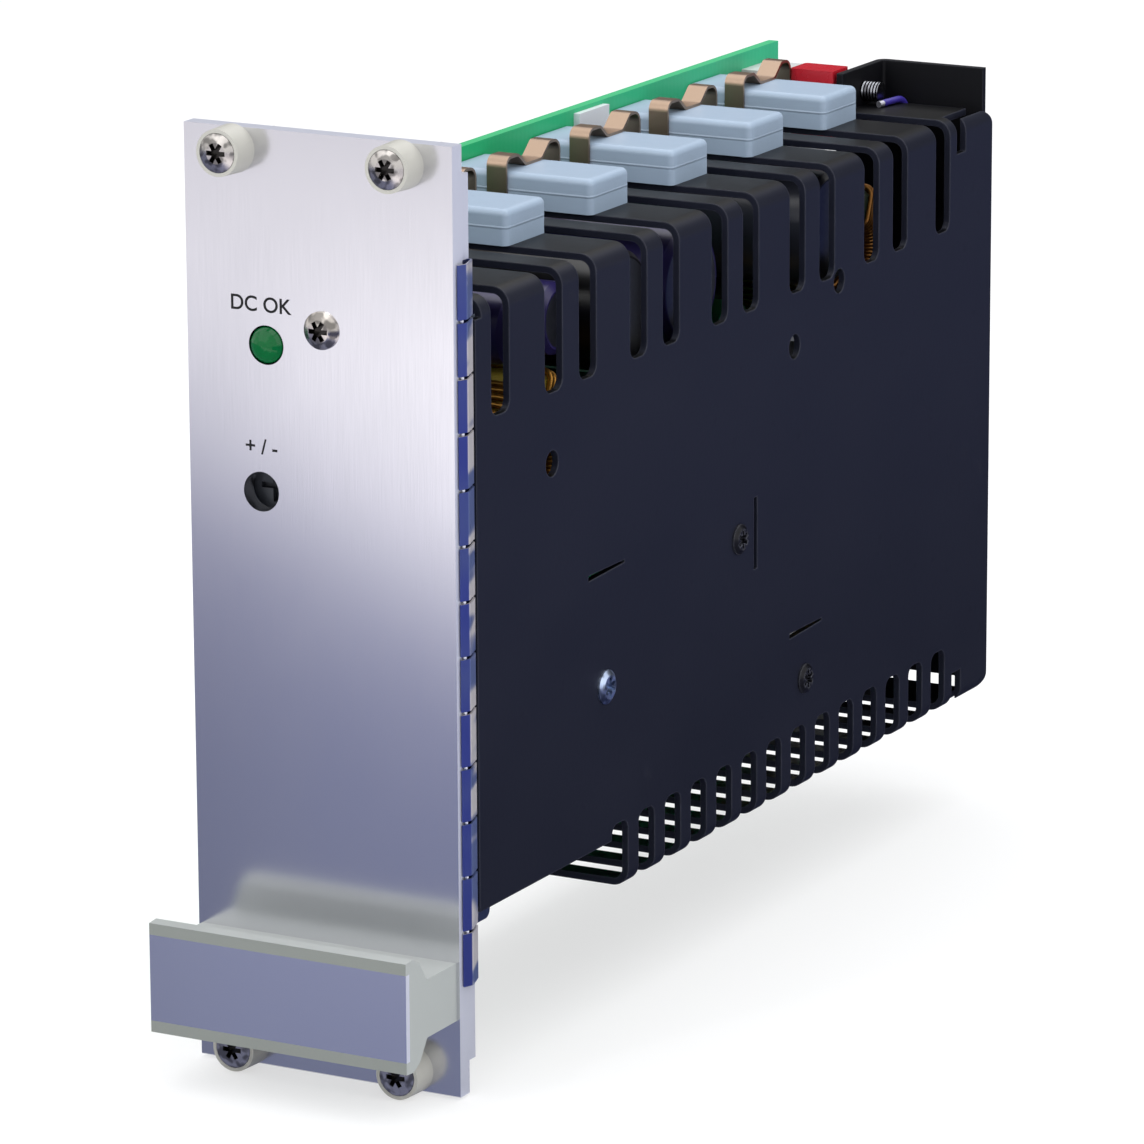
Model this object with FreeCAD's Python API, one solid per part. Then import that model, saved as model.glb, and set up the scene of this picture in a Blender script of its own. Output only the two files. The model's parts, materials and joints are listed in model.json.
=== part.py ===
"""Plug-in power supply unit for a 19 inch rack, 3 units high and 8 pitches wide.

Millimetres. X points right across the front panel, Y points back into the
rack and Z points up. The origin is the centre of the four screws of the
front panel, on the rear face of the panel, where the unit seats on its rack.

The pieces are built in this order: front panel with its fittings, board,
slotted cover, clamped transistors, rear connector and the parts inside.
"""
import FreeCAD
import Part

import math
import os

from FreeCAD import Vector

# Rack grid and front panel
PITCH = 5.08
PANEL_PITCHES = 8
PANEL_SIDE_GAP = 0.30
PANEL_HEIGHT = 128.4
PANEL_THICKNESS = 2.5
SCREW_SPACING_X = 25.4
SCREW_EDGE = 2.95
SCREW_SPACING_Z = PANEL_HEIGHT - 2 * SCREW_EDGE
FLANGE_THICKNESS = 1.5
FLANGE_DEPTH = 2.6
FLANGE_INSET = 0.55
FLANGE_END_GAP = 4.2

# Captive screws and their collars
COLLAR_RADIUS = 3.3
COLLAR_TIP_RADIUS = 3.15
COLLAR_LENGTH = 4.0
COLLAR_SPIGOT_RADIUS = 2.1
COLLAR_SPIGOT_LENGTH = PANEL_THICKNESS
SCREW_HEAD_RADIUS = 2.6
SCREW_HEAD_HEIGHT = 1.9
SCREW_HEAD_DOME = 0.45
SCREW_NECK_RADIUS = 0.95
SCREW_THREAD_RADIUS = 1.25
SCREW_REACH = 8.0
DRIVE_DEPTH = 1.0
DRIVE_WIDTH = 0.65
DRIVE_LENGTH = 2.8
DRIVE_LOBES = 6
RUNNING_FIT = 0.06
STATIC_FIT = 0.05

# Pull handle
HANDLE_WIDTH = 39.4
HANDLE_EDGE = 14.7
HANDLE_CENTRE_Z = HANDLE_EDGE - PANEL_HEIGHT / 2
HANDLE_REACH = 13.4
HANDLE_HEIGHT = 15.5
HANDLE_NECK_HEIGHT = 8.0
HANDLE_NECK_REACH = 7.9
HANDLE_SLOPE_REACH = 9.9
HANDLE_LIP = 1.75
HANDLE_LIP_SETBACK = 0.9
STRIP_THICKNESS = 0.9

# Indicator, trimmer access and panel screw
INDICATOR_X = -8.1
INDICATOR_Z = 35.4
INDICATOR_RADIUS = 2.5
INDICATOR_PROUD = 1.3
INDICATOR_DOME = 1.9
INDICATOR_LENGTH = 8.6
INDICATOR_LEAD = 0.5
INDICATOR_LEAD_REACH = 2.0
HOLDER_WALL = 0.9
TRIMMER_X = -9.2
TRIMMER_Z = 15.5
TRIMMER_ACCESS_RADIUS = 2.7
TRIMMER_ROTOR_RADIUS = 3.4
TRIMMER_BODY_SIZE = 10.0
TRIMMER_BODY_DEPTH = 5.0
PANEL_SCREW_X = 0.4
PANEL_SCREW_Z = 38.2
PANEL_SCREW_HEAD_RADIUS = 2.55
PANEL_SCREW_HEAD_HEIGHT = 1.2

# Contact strip on the right flange of the panel
FINGER_PITCH = 7.5
FINGER_COUNT = 13
FINGER_GAP = 0.45
FINGER_THICKNESS = 0.25
FINGER_TOP_Z = 48.6

# Main board
BOARD_FACE_X = -16.1
BOARD_THICKNESS = 1.6
BOARD_FRONT_Y = 2.8
BOARD_LENGTH = 160.0
BOARD_HEIGHT = 100.0

# Slotted cover
COVER_OUTER_X = 20.08
COVER_LEFT_X = -14.6
COVER_TOP_Z = 43.0
COVER_BOTTOM_Z = -47.9
COVER_THICKNESS = 1.0
COVER_BEND_RADIUS = 2.5
COVER_WALL_FRONT_Y = 3.4
COVER_TOP_FRONT_Y = 5.1
COVER_PLATE_REAR_Y = 158.4
COVER_WALL_REAR_Y = 162.6
WALL_LOWER_EDGE_Z = -40.0
WALL_CORNER_Z = 40.4
SLOT_CORNER_RADIUS = 1.6
SLOT_LEFT_X = -11.5
TOP_SLOT_WIDTH = 5.0
TOP_SLOT_FIRST_Y = 7.5
TOP_SLOT_PAIR_PITCH = 24.15
TOP_SLOT_PAIR_STEP = 14.6
TOP_SLOT_PAIRS = 6
TOP_SLOT_END_Z = 26.6
BOTTOM_SLOT_WIDTH = 4.85
BOTTOM_SLOT_FIRST_Y = 40.5
BOTTOM_SLOT_PITCH = 7.86
BOTTOM_SLOT_COUNT = 14
BOTTOM_SLOT_END_Z = -37.9
REAR_CUT_GAP = 0.4
REAR_CUT_FRONT_Y = 147.3
NOTCH_FRONT_Y = 150.1
NOTCH_WIDTH = 3.2
NOTCH_DEPTH = 5.4
NOTCH_LEFT_X = 17.6
TAB_STEP = 0.1
TAB_CORNER_RADIUS = 2.4
SIDE_HOLE_RADIUS = 1.8
SIDE_HOLES = ((24.0, 16.9), (96.3, 18.8), (110.6, 25.7))
SLIT_LENGTH = 10.5
UPRIGHT_SLIT_WIDTH = 1.1
LEVEL_SLIT_FRONT_WIDTH = 0.8
LEVEL_SLIT_REAR_WIDTH = 0.35
LEVEL_SLITS = ((39.3, -1.3), (100.2, -23.7))
UPRIGHT_SLIT = (84.1, -5.9)

# Joggled angle between the panel and the front of the side wall
SIDE_ANGLE_THICKNESS = 1.0
SIDE_ANGLE_CLEARANCE = 0.7
SIDE_ANGLE_STEP = 5.0
SIDE_ANGLE_FOOT = 5.0
SIDE_ANGLE_BEND = 0.9
SIDE_ANGLE_REAR_Y = 7.8
SIDE_ANGLE_DROP = 1.9
SIDE_ANGLE_CORNER = 1.2

# Screws and posts that carry the side wall
POST_RADIUS = 3.0
BRIGHT_POST = (39.0, -17.6)
BLACK_POSTS = ((79.0, -5.7), (99.9, -31.1))
WALL_SCREW_RADIUS = 1.5
BRIGHT_HEAD_RADIUS = 2.4
BLACK_HEAD_RADIUS = 2.2
WALL_SCREW_HEAD = 0.7
WALL_SCREW_DEPTH = 6.0

# Silicone caps, transistors and spring clips on the cover
CAP_COUNT = 5
CAP_LENGTH = 22.6
CAP_WIDTH = 11.2
CAP_HEIGHT = 5.0
CAP_WALL = 0.5
CAP_EDGE_RADIUS = 0.9
CAP_BOARD_GAP = 0.3
TRANSISTOR_WIDTH = 10.0
TRANSISTOR_HEIGHT = 3.8
TRANSISTOR_LENGTH = 15.0
LEAD_WIDTH = 0.8
LEAD_THICKNESS = 0.5
LEAD_PITCH = 2.54
LEAD_COUNT = 3
CLIP_THICKNESS = 0.4
CLIP_WIDTH = 3.1
CLIP_LEFT_X = -9.5
CLIP_ARCH_RISE = 1.9
CLIP_LEG_DROP = 2.5
CLIP_ARCH_LENGTH = 3.4
CLIP_SLOPE_LENGTH = 2.2
CLIP_VALLEY_END = 4.3
CLIP_REAR_SLOPE_END = 6.6
CLIP_REAR_RISE = 0.3
CLIP_BENDS = (1.3, 1.0, 1.2, 1.2, 1.0, 1.6)

# Rear bracket, connector and its screws
BRACKET_THICKNESS = 1.0
BRACKET_FLANGE_X = 1.3
BRACKET_RIGHT_X = 18.9
BRACKET_FLANGE_FRONT_Y = 147.6
BRACKET_REAR_Y = 162.6
BRACKET_TOP_Z = 48.7
BRACKET_BOTTOM_Z = -46.2
BRACKET_CORNER_CUT = 3.0
CONNECTOR_HEIGHT = 95.0
CONNECTOR_END_STEP = 2.0
CONNECTOR_FOOT_WIDTH = 8.0
CONNECTOR_FOOT_FRONT_Y = 150.5
CONNECTOR_FOOT_REAR_Y = 158.0
CONNECTOR_NECK_WIDTH = 4.4
CONNECTOR_SHROUD_LEFT_X = -20.4
CONNECTOR_SHROUD_WIDTH = 9.0
CONNECTOR_REAR_Y = 169.5
CONNECTOR_WALL = 1.2
CONNECTOR_SOCKET_DEPTH = 5.6
CONNECTOR_END_WALL = 5.5
CONNECTOR_SOCKET_HEIGHT = CONNECTOR_HEIGHT - 2 * CONNECTOR_END_WALL
BLADE_COUNT = 15
BLADE_PITCH = 5.08
BLADE_SIZE = (1.0, 4.6, 1.6)
CONNECTOR_SCREW_Y = 155.1
CONNECTOR_SCREW_EDGE = 2.5
CONNECTOR_SCREW_SPACING = CONNECTOR_HEIGHT - 2 * CONNECTOR_SCREW_EDGE
CONNECTOR_SCREW_RADIUS = 1.5
CONNECTOR_SCREW_PROUD = 2.8
CONNECTOR_HEAD_RADIUS = 2.7
CONNECTOR_HEAD_HEIGHT = 1.6
SPACER_RADIUS = 1.95

# Parts standing on the board: centre Y, centre Z and sizes
OUTPUT_CAPACITORS = ((24.5, 34.6), (35.8, 33.9))
OUTPUT_CAPACITOR_RADIUS = 5.0
OUTPUT_CAPACITOR_HEIGHT = 31.0
FILTER_CAPACITORS = ((53.2, 31.6), (73.2, 31.6), (117.2, 31.6))
FILTER_CAPACITOR_RADIUS = 8.5
FILTER_CAPACITOR_HEIGHT = 31.5
BULK_CAPACITORS = ((57.0, 5.0), (57.0, -31.0))
BULK_CAPACITOR_RADIUS = 11.0
BULK_CAPACITOR_HEIGHT = 31.0
RIM_RADIUS = 0.8
SLEEVE_GROOVE = 0.4
OUTPUT_CHOKE = (30.5, 14.6)
OUTPUT_CHOKE_RADII = (6.5, 12.5)
OUTPUT_CHOKE_STAND = 17.0
OUTPUT_CHOKE_HEIGHT = 12.5
MAINS_CHOKE = (135.5, 24.0)
MAINS_CHOKE_RADII = (5.0, 10.0)
MAINS_CHOKE_STAND = 12.0
MAINS_CHOKE_HEIGHT = 15.0
WINDING_THICKNESS = 0.9
WINDING_SECTOR = 140.0
TRANSFORMER_CENTRE = (99.0, 1.0)
CORE_SIZE = (30.0, 32.0, 28.0)
CORE_LEG = 6.5
CORE_SIDE = 4.0
CORE_STAND = 2.0
CORE_POST_RADIUS = 5.2
WINDING_RADIUS = 9.2
LINE_CAPACITOR = (134.5, -14.0)
LINE_CAPACITOR_SIZE = (20.0, 24.0, 13.0)
RECTIFIER = (126.0, 3.0)
RECTIFIER_SIZE = (18.0, 5.0, 20.0)
FUSE = (137.0, -32.0)
FUSE_LENGTH = 20.0
FUSE_RADIUS = 2.6
FUSE_CAP_LENGTH = 5.0
FUSE_STAND = 6.0
FILM_CAPACITOR_LEFT_X = -6.5
FILM_CAPACITOR_SIZE = (7.2, 5.4, 11.0)
FILM_CAPACITOR_FRONT_Y = 147.6
FILM_CAPACITOR_TOP_Z = 48.9
FILM_LEAD_RADIUS = 0.4
CHIP_SIZE = (1.0, 9.0, 4.4)
CHIP_PLACE = (97.2, 49.4)
WIRE_RADIUS = 0.5
WIRE_X = 7.1
WIRE_LENGTH = 6.6
WIRE_DROP = 11.0
WIRE_EDGE_GAP = 0.7
WIRE_BENDS = (1.5, 2.0)

# Bracket behind the panel screw
LEAF_THICKNESS = 1.5
LEAF_MARGIN = 4.6
LEAF_LENGTH = 11.0
LEAF_BEND = 1.6
LEAF_DROP = 2.8
LEAF_HEIGHT = 9.0
LEAF_CUT = 1.0

# Sizes that follow from the ones above
PANEL_WIDTH = PANEL_PITCHES * PITCH - PANEL_SIDE_GAP
PANEL_FRONT_Y = -PANEL_THICKNESS
COVER_INNER_X = COVER_OUTER_X - COVER_THICKNESS
BEND_INSET = COVER_BEND_RADIUS - COVER_THICKNESS
BEND_FALL = COVER_BEND_RADIUS - math.sqrt(COVER_BEND_RADIUS ** 2 - BEND_INSET ** 2)
TAB_DROP = BEND_FALL + TAB_STEP
BOARD_TOP_Z = BOARD_HEIGHT / 2
BOARD_BACK_X = BOARD_FACE_X - BOARD_THICKNESS
BOARD_REAR_Y = BOARD_FRONT_Y + BOARD_LENGTH
SCREW_CORNERS = [(sx * SCREW_SPACING_X / 2, sz * SCREW_SPACING_Z / 2)
                 for sz in (1, -1) for sx in (-1, 1)]
WIDE_WEB = TOP_SLOT_PAIR_STEP - TOP_SLOT_WIDTH
CAP_CENTRES_Y = [TOP_SLOT_FIRST_Y + TOP_SLOT_WIDTH + WIDE_WEB / 2
                 + TOP_SLOT_PAIR_PITCH * (index + 1) for index in range(CAP_COUNT)]
CAP_LEFT_X = BOARD_FACE_X + CAP_BOARD_GAP
CAP_TOP_Z = COVER_TOP_Z + CAP_HEIGHT

OUT_X = Vector(1, 0, 0)
OUT_Y = Vector(0, 1, 0)
OUT_Z = Vector(0, 0, 1)


def block(x_range, y_range, z_range):
    """Box between the given limits."""
    size = [limits[1] - limits[0] for limits in (x_range, y_range, z_range)]
    return Part.makeBox(*size, Vector(x_range[0], y_range[0], z_range[0]))


def rod(radius, start, direction, length):
    """Cylinder from a start point along a direction."""
    return Part.makeCylinder(radius, length, start, direction)


def fillet_edges(shape, radius, chosen):
    """Round the edges whose centre passes the chosen test."""
    edges = [edge for edge in shape.Edges if chosen(edge)]
    return shape.makeFillet(radius, edges)


def offset_corner(before, corner, after, distance):
    """Corner of a bent line moved sideways, to the left of its direction."""
    first = ((corner[0] - before[0]), (corner[1] - before[1]))
    second = ((after[0] - corner[0]), (after[1] - corner[1]))
    first_length = math.hypot(*first)
    second_length = math.hypot(*second)
    normal_1 = (-first[1] / first_length, first[0] / first_length)
    normal_2 = (-second[1] / second_length, second[0] / second_length)
    scale = distance / (1 + normal_1[0] * normal_2[0] + normal_1[1] * normal_2[1])
    return (corner[0] + (normal_1[0] + normal_2[0]) * scale,
            corner[1] + (normal_1[1] + normal_2[1]) * scale)


def offset_line(points, distance):
    """Bent line moved sideways by a distance, with its ends kept square."""
    moved = []
    for index, corner in enumerate(points):
        if index == 0:
            after = points[1]
            before = (2 * corner[0] - after[0], 2 * corner[1] - after[1])
        elif index == len(points) - 1:
            before = points[index - 1]
            after = (2 * corner[0] - before[0], 2 * corner[1] - before[1])
        else:
            before, after = points[index - 1], points[index + 1]
        moved.append(offset_corner(before, corner, after, distance))
    return moved


def turn_at(points, index):
    """Signed turn of a bent line at a corner, in radians."""
    before, corner, after = points[index - 1], points[index], points[index + 1]
    angle_in = math.atan2(corner[1] - before[1], corner[0] - before[0])
    angle_out = math.atan2(after[1] - corner[1], after[0] - corner[0])
    return (angle_out - angle_in + math.pi) % (2 * math.pi) - math.pi


def rounded_edges(points, radii, place):
    """Edges of a bent line whose corners are arcs of the given radii."""
    edges = []
    start = points[0]
    for index in range(1, len(points) - 1):
        corner, radius = points[index], radii[index - 1]
        turn = turn_at(points, index)
        reach = radius * math.tan(abs(turn) / 2)
        tangents = []
        for other in (points[index - 1], points[index + 1]):
            length = math.hypot(other[0] - corner[0], other[1] - corner[1])
            tangents.append((corner[0] + (other[0] - corner[0]) * reach / length,
                             corner[1] + (other[1] - corner[1]) * reach / length))
        middle = ((tangents[0][0] + tangents[1][0]) / 2, (tangents[0][1] + tangents[1][1]) / 2)
        depth = math.hypot(corner[0] - middle[0], corner[1] - middle[1])
        sagitta = radius * (1 - math.cos(turn / 2))
        crown = (middle[0] + (corner[0] - middle[0]) * sagitta / depth,
                 middle[1] + (corner[1] - middle[1]) * sagitta / depth)
        edges.append(Part.LineSegment(place(*start), place(*tangents[0])).toShape())
        edges.append(Part.Arc(place(*tangents[0]), place(*crown), place(*tangents[1])).toShape())
        start = tangents[1]
    edges.append(Part.LineSegment(place(*start), place(*points[-1])).toShape())
    return edges


def bent_sheet(points, radii, thickness, place, sweep):
    """Sheet metal bent along a line of corners and swept square to it.

    The points lie on the middle of the sheet and the radii are those of the
    middle of each bend.
    """
    half = thickness / 2
    sides = []
    for side in (half, -half):
        side_radii = [radius - math.copysign(side, side * turn_at(points, index + 1))
                      for index, radius in enumerate(radii)]
        sides.append((offset_line(points, side), side_radii))
    left = rounded_edges(sides[0][0], sides[0][1], place)
    right = rounded_edges(sides[1][0], sides[1][1], place)
    caps = [Part.LineSegment(place(*sides[0][0][end]), place(*sides[1][0][end])).toShape()
            for end in (0, -1)]
    outline = Part.Wire(Part.__sortEdges__(left + right + caps))
    return Part.Face(outline).extrude(sweep)


def rounded_block(x_range, y_range, z_range, radius, axis):
    """Box whose four edges along one axis are rounded."""
    shape = block(x_range, y_range, z_range)

    def along(edge):
        """Tell whether an edge runs along the axis."""
        return abs(edge.tangentAt(edge.FirstParameter).dot(axis)) > 0.99
    return fillet_edges(shape, radius, along)


def turned(profile, centre, axis):
    """Solid of revolution from (radius, height) points about an axis."""
    side = OUT_Z if abs(axis.z) < 0.5 else OUT_X
    points = [centre + side * radius + axis * height for radius, height in profile]
    face = Part.Face(Part.makePolygon(points + [points[0]]))
    return face.revolve(centre, axis, 360)


def drive_recess(centre, tilt_axis):
    """Six-lobed recess for a screw head.

    It is made upright and then tilted by a quarter turn about the given axis.
    """
    arms = []
    for index in range(DRIVE_LOBES // 2):
        arm = block((-DRIVE_LENGTH / 2, DRIVE_LENGTH / 2), (-DRIVE_WIDTH / 2, DRIVE_WIDTH / 2),
                    (0, DRIVE_DEPTH))
        arm.rotate(Vector(0, 0, 0), OUT_Z, index * 360 / DRIVE_LOBES)
        arms.append(arm)
    recess = arms[0].multiFuse(arms[1:])
    recess.rotate(Vector(0, 0, 0), tilt_axis, -90)
    recess.translate(centre)
    return recess


def make_front_panel():
    """Panel plate with a folded flange down each side and its openings."""
    half_width, half_height = PANEL_WIDTH / 2, PANEL_HEIGHT / 2
    panel = block((-half_width, half_width), (PANEL_FRONT_Y, 0), (-half_height, half_height))
    flange_z = (-half_height + FLANGE_END_GAP, half_height - FLANGE_END_GAP)
    for side in (-1, 1):
        outer = side * (half_width - FLANGE_INSET)
        inner = outer - side * FLANGE_THICKNESS
        flange = block((min(outer, inner), max(outer, inner)), (0, FLANGE_DEPTH), flange_z)
        panel = panel.fuse(flange)
    for x, z in SCREW_CORNERS:
        panel = panel.cut(panel_bore(COLLAR_SPIGOT_RADIUS + STATIC_FIT, x, z))
    panel = panel.cut(panel_bore(INDICATOR_RADIUS + 0.15, INDICATOR_X, INDICATOR_Z))
    panel = panel.cut(panel_bore(TRIMMER_ACCESS_RADIUS, TRIMMER_X, TRIMMER_Z))
    panel = panel.cut(panel_bore(WALL_SCREW_RADIUS + STATIC_FIT, PANEL_SCREW_X, PANEL_SCREW_Z))
    return panel.removeSplitter()


def panel_bore(radius, x, z):
    """Cutter for a round hole through the panel."""
    return rod(radius, Vector(x, PANEL_FRONT_Y - 1, z), OUT_Y, PANEL_THICKNESS + 2)


def make_collar(x, z):
    """Plastic collar: a tapered head in front and a spigot through the panel."""
    front_y = PANEL_FRONT_Y - COLLAR_LENGTH
    head = Part.makeCone(COLLAR_TIP_RADIUS, COLLAR_RADIUS, COLLAR_LENGTH,
                         Vector(x, front_y, z), OUT_Y)
    spigot = rod(COLLAR_SPIGOT_RADIUS, Vector(x, PANEL_FRONT_Y, z), OUT_Y, COLLAR_SPIGOT_LENGTH)
    pocket = rod(SCREW_HEAD_RADIUS + RUNNING_FIT, Vector(x, front_y, z), OUT_Y,
                 SCREW_HEAD_HEIGHT + RUNNING_FIT)
    bore = rod(SCREW_NECK_RADIUS + RUNNING_FIT, Vector(x, front_y, z), OUT_Y,
               COLLAR_LENGTH + COLLAR_SPIGOT_LENGTH)
    return head.fuse(spigot).cut(pocket).cut(bore).removeSplitter()


def make_captive_screw(x, z):
    """Screw with its domed head in the collar, a thin neck in the bore and a thread behind.

    The thread is wider than the bore, so the screw can't leave its collar.
    """
    front_y = PANEL_FRONT_Y - COLLAR_LENGTH
    thread_start = COLLAR_LENGTH + COLLAR_SPIGOT_LENGTH + RUNNING_FIT
    thread_end = thread_start + SCREW_REACH
    profile = [(0, -SCREW_HEAD_DOME), (0.55 * SCREW_HEAD_RADIUS, -0.8 * SCREW_HEAD_DOME),
               (SCREW_HEAD_RADIUS, 0), (SCREW_HEAD_RADIUS, SCREW_HEAD_HEIGHT),
               (SCREW_NECK_RADIUS, SCREW_HEAD_HEIGHT), (SCREW_NECK_RADIUS, thread_start),
               (SCREW_THREAD_RADIUS, thread_start), (SCREW_THREAD_RADIUS, thread_end),
               (0, thread_end)]
    screw = turned(profile, Vector(x, front_y, z), OUT_Y)
    return screw.cut(drive_recess(Vector(x, front_y - SCREW_HEAD_DOME, z), OUT_X))


def make_panel_screw():
    """Domed screw that holds the board bracket to the panel."""
    reach = PANEL_THICKNESS + LEAF_THICKNESS
    profile = [(0, -PANEL_SCREW_HEAD_HEIGHT),
               (0.6 * PANEL_SCREW_HEAD_RADIUS, -0.85 * PANEL_SCREW_HEAD_HEIGHT),
               (PANEL_SCREW_HEAD_RADIUS, -0.25 * PANEL_SCREW_HEAD_HEIGHT),
               (PANEL_SCREW_HEAD_RADIUS, 0), (WALL_SCREW_RADIUS, 0),
               (WALL_SCREW_RADIUS, reach), (0, reach)]
    face = Vector(PANEL_SCREW_X, PANEL_FRONT_Y, PANEL_SCREW_Z)
    recess = drive_recess(face - OUT_Y * PANEL_SCREW_HEAD_HEIGHT, OUT_X)
    return turned(profile, face, OUT_Y).cut(recess)


def make_handle():
    """Moulded pull bar: a neck on the panel that widens to a head with two lips."""
    front_y = PANEL_FRONT_Y - HANDLE_REACH
    neck_y = PANEL_FRONT_Y - HANDLE_NECK_REACH
    slope_y = PANEL_FRONT_Y - HANDLE_SLOPE_REACH
    back_y = front_y + 2 * HANDLE_LIP_SETBACK
    floor_y = front_y + STRIP_THICKNESS
    neck, head = HANDLE_NECK_HEIGHT / 2, HANDLE_HEIGHT / 2
    upper = [(PANEL_FRONT_Y, neck), (neck_y, neck), (slope_y, head - HANDLE_LIP_SETBACK),
             (back_y, head), (front_y, head - 0.15), (front_y, head - HANDLE_LIP),
             (floor_y, head - HANDLE_LIP)]
    outline = upper + [(y, -z) for y, z in reversed(upper)]
    points = [Vector(-HANDLE_WIDTH / 2, y, HANDLE_CENTRE_Z + z) for y, z in outline]
    return Part.Face(Part.makePolygon(points + [points[0]])).extrude(OUT_X * HANDLE_WIDTH)


def make_handle_strip():
    """Plain metal strip held between the lips of the handle."""
    front_y = PANEL_FRONT_Y - HANDLE_REACH
    half = HANDLE_HEIGHT / 2 - HANDLE_LIP
    return block((-HANDLE_WIDTH / 2, HANDLE_WIDTH / 2), (front_y, front_y + STRIP_THICKNESS),
                 (HANDLE_CENTRE_Z - half, HANDLE_CENTRE_Z + half))


def make_contact_strip():
    """Spring fingers folded over the right flange, one strip cut into fingers."""
    flange_outer = PANEL_WIDTH / 2 - FLANGE_INSET
    flange_inner = flange_outer - FLANGE_THICKNESS
    gap = FINGER_THICKNESS / 2 + STATIC_FIT
    rear_y = FLANGE_DEPTH + gap
    points = [(flange_inner - gap, 0.9), (flange_inner - gap, rear_y),
              (flange_outer + 2 * gap, rear_y), (flange_outer + 1.35, -0.4),
              (flange_outer + 0.78, -1.75)]
    bottom_z = FINGER_TOP_Z - FINGER_COUNT * FINGER_PITCH
    strip = bent_sheet(points, [0.2, 0.3, 0.6], FINGER_THICKNESS,
                       lambda x, y: Vector(x, y, bottom_z),
                       OUT_Z * (FINGER_COUNT * FINGER_PITCH))
    for index in range(1, FINGER_COUNT):
        z = bottom_z + index * FINGER_PITCH
        gap_cut = block((flange_outer + gap / 2, flange_outer + 3), (-3, rear_y + 1),
                        (z - FINGER_GAP / 2, z + FINGER_GAP / 2))
        strip = strip.cut(gap_cut)
    return strip


def make_board():
    """Main board, a plain laminate with holes for its screws."""
    board = block((BOARD_BACK_X, BOARD_FACE_X), (BOARD_FRONT_Y, BOARD_REAR_Y),
                  (-BOARD_TOP_Z, BOARD_TOP_Z))
    for z in connector_screw_heights():
        hole = rod(CONNECTOR_SCREW_RADIUS + STATIC_FIT,
                   Vector(BOARD_BACK_X - 1, CONNECTOR_SCREW_Y, z), OUT_X, BOARD_THICKNESS + 2)
        board = board.cut(hole)
    return board


def cover_slot(front_y, width, plate_z, end_z):
    """Cutter for one slot that runs over the bend from a plate into the side wall."""
    away = 1 if plate_z > end_z else -1
    reach = 3.0
    plate = rounded_block((SLOT_LEFT_X, COVER_OUTER_X + reach), (front_y, front_y + width),
                          tuple(sorted((plate_z - away * COVER_BEND_RADIUS, plate_z + away))),
                          SLOT_CORNER_RADIUS, OUT_Z)
    wall = rounded_block((COVER_OUTER_X - COVER_BEND_RADIUS, COVER_OUTER_X + 1),
                         (front_y, front_y + width),
                         tuple(sorted((end_z, plate_z + away * reach))),
                         SLOT_CORNER_RADIUS, OUT_X)
    return plate.fuse(wall)


def upright_slit():
    """Cutter for the narrow upright slit in the side wall."""
    y, z = UPRIGHT_SLIT
    half_width, half_length = UPRIGHT_SLIT_WIDTH / 2, SLIT_LENGTH / 2
    return block((COVER_INNER_X - 1, COVER_OUTER_X + 1), (y - half_width, y + half_width),
                 (z - half_length, z + half_length))


def level_slit(y, z):
    """Cutter for a level slit in the side wall, wider at its front end."""
    half = SLIT_LENGTH / 2
    top_z = z + LEVEL_SLIT_FRONT_WIDTH / 2
    outline = [(y - half, top_z), (y + half, top_z), (y + half, top_z - LEVEL_SLIT_REAR_WIDTH),
               (y - half, top_z - LEVEL_SLIT_FRONT_WIDTH)]
    points = [Vector(COVER_INNER_X - 1, *corner) for corner in outline]
    return Part.Face(Part.makePolygon(points + [points[0]])).extrude(OUT_X * (COVER_THICKNESS + 2))


def top_slot_starts():
    """Front edges of the slots in the top plate."""
    return [TOP_SLOT_FIRST_Y + pair * TOP_SLOT_PAIR_PITCH + step
            for pair in range(TOP_SLOT_PAIRS) for step in (0, TOP_SLOT_PAIR_STEP)]


def bottom_slot_starts():
    """Front edges of the slots in the bottom plate."""
    return [BOTTOM_SLOT_FIRST_Y + index * BOTTOM_SLOT_PITCH
            for index in range(BOTTOM_SLOT_COUNT)]


def cover_corner_cutters():
    """Cutters for the stepped corners, the notches and the free tab at the rear."""
    far = 60.0
    wide_x = (COVER_LEFT_X - 1, COVER_OUTER_X + 1)
    fin_front_y = BOTTOM_SLOT_FIRST_Y + BOTTOM_SLOT_WIDTH
    cutters = [block(wide_x, (COVER_WALL_FRONT_Y - 1, COVER_TOP_FRONT_Y), (WALL_CORNER_Z, far)),
               block(wide_x, (COVER_WALL_FRONT_Y - 1, fin_front_y), (-far, WALL_LOWER_EDGE_Z))]
    notch_y = (NOTCH_FRONT_Y, NOTCH_FRONT_Y + NOTCH_WIDTH)
    rear = COVER_WALL_REAR_Y + 1
    cut_x = BRACKET_FLANGE_X + BRACKET_THICKNESS + REAR_CUT_GAP
    for edge_z, away in ((COVER_TOP_Z, 1), (COVER_BOTTOM_Z, -1)):
        notch_z = tuple(sorted((edge_z - away * NOTCH_DEPTH, edge_z + away)))
        edge_band = tuple(sorted((edge_z - away * COVER_BEND_RADIUS, edge_z + away)))
        cutters.append(block((NOTCH_LEFT_X, COVER_OUTER_X + 1), notch_y, notch_z))
        cutters.append(block((NOTCH_LEFT_X, COVER_INNER_X), (NOTCH_FRONT_Y, rear), edge_band))
        cutters.append(block((COVER_LEFT_X - 1, COVER_INNER_X), (COVER_PLATE_REAR_Y, rear), edge_band))
        cutters.append(block((COVER_LEFT_X - 1, cut_x), (REAR_CUT_FRONT_Y, rear), edge_band))
        tab_z = tuple(sorted((edge_z - away * TAB_DROP, edge_z + away)))
        cutters.append(block((COVER_INNER_X - 1, COVER_OUTER_X + 1), (NOTCH_FRONT_Y, rear), tab_z))
    return cutters


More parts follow.
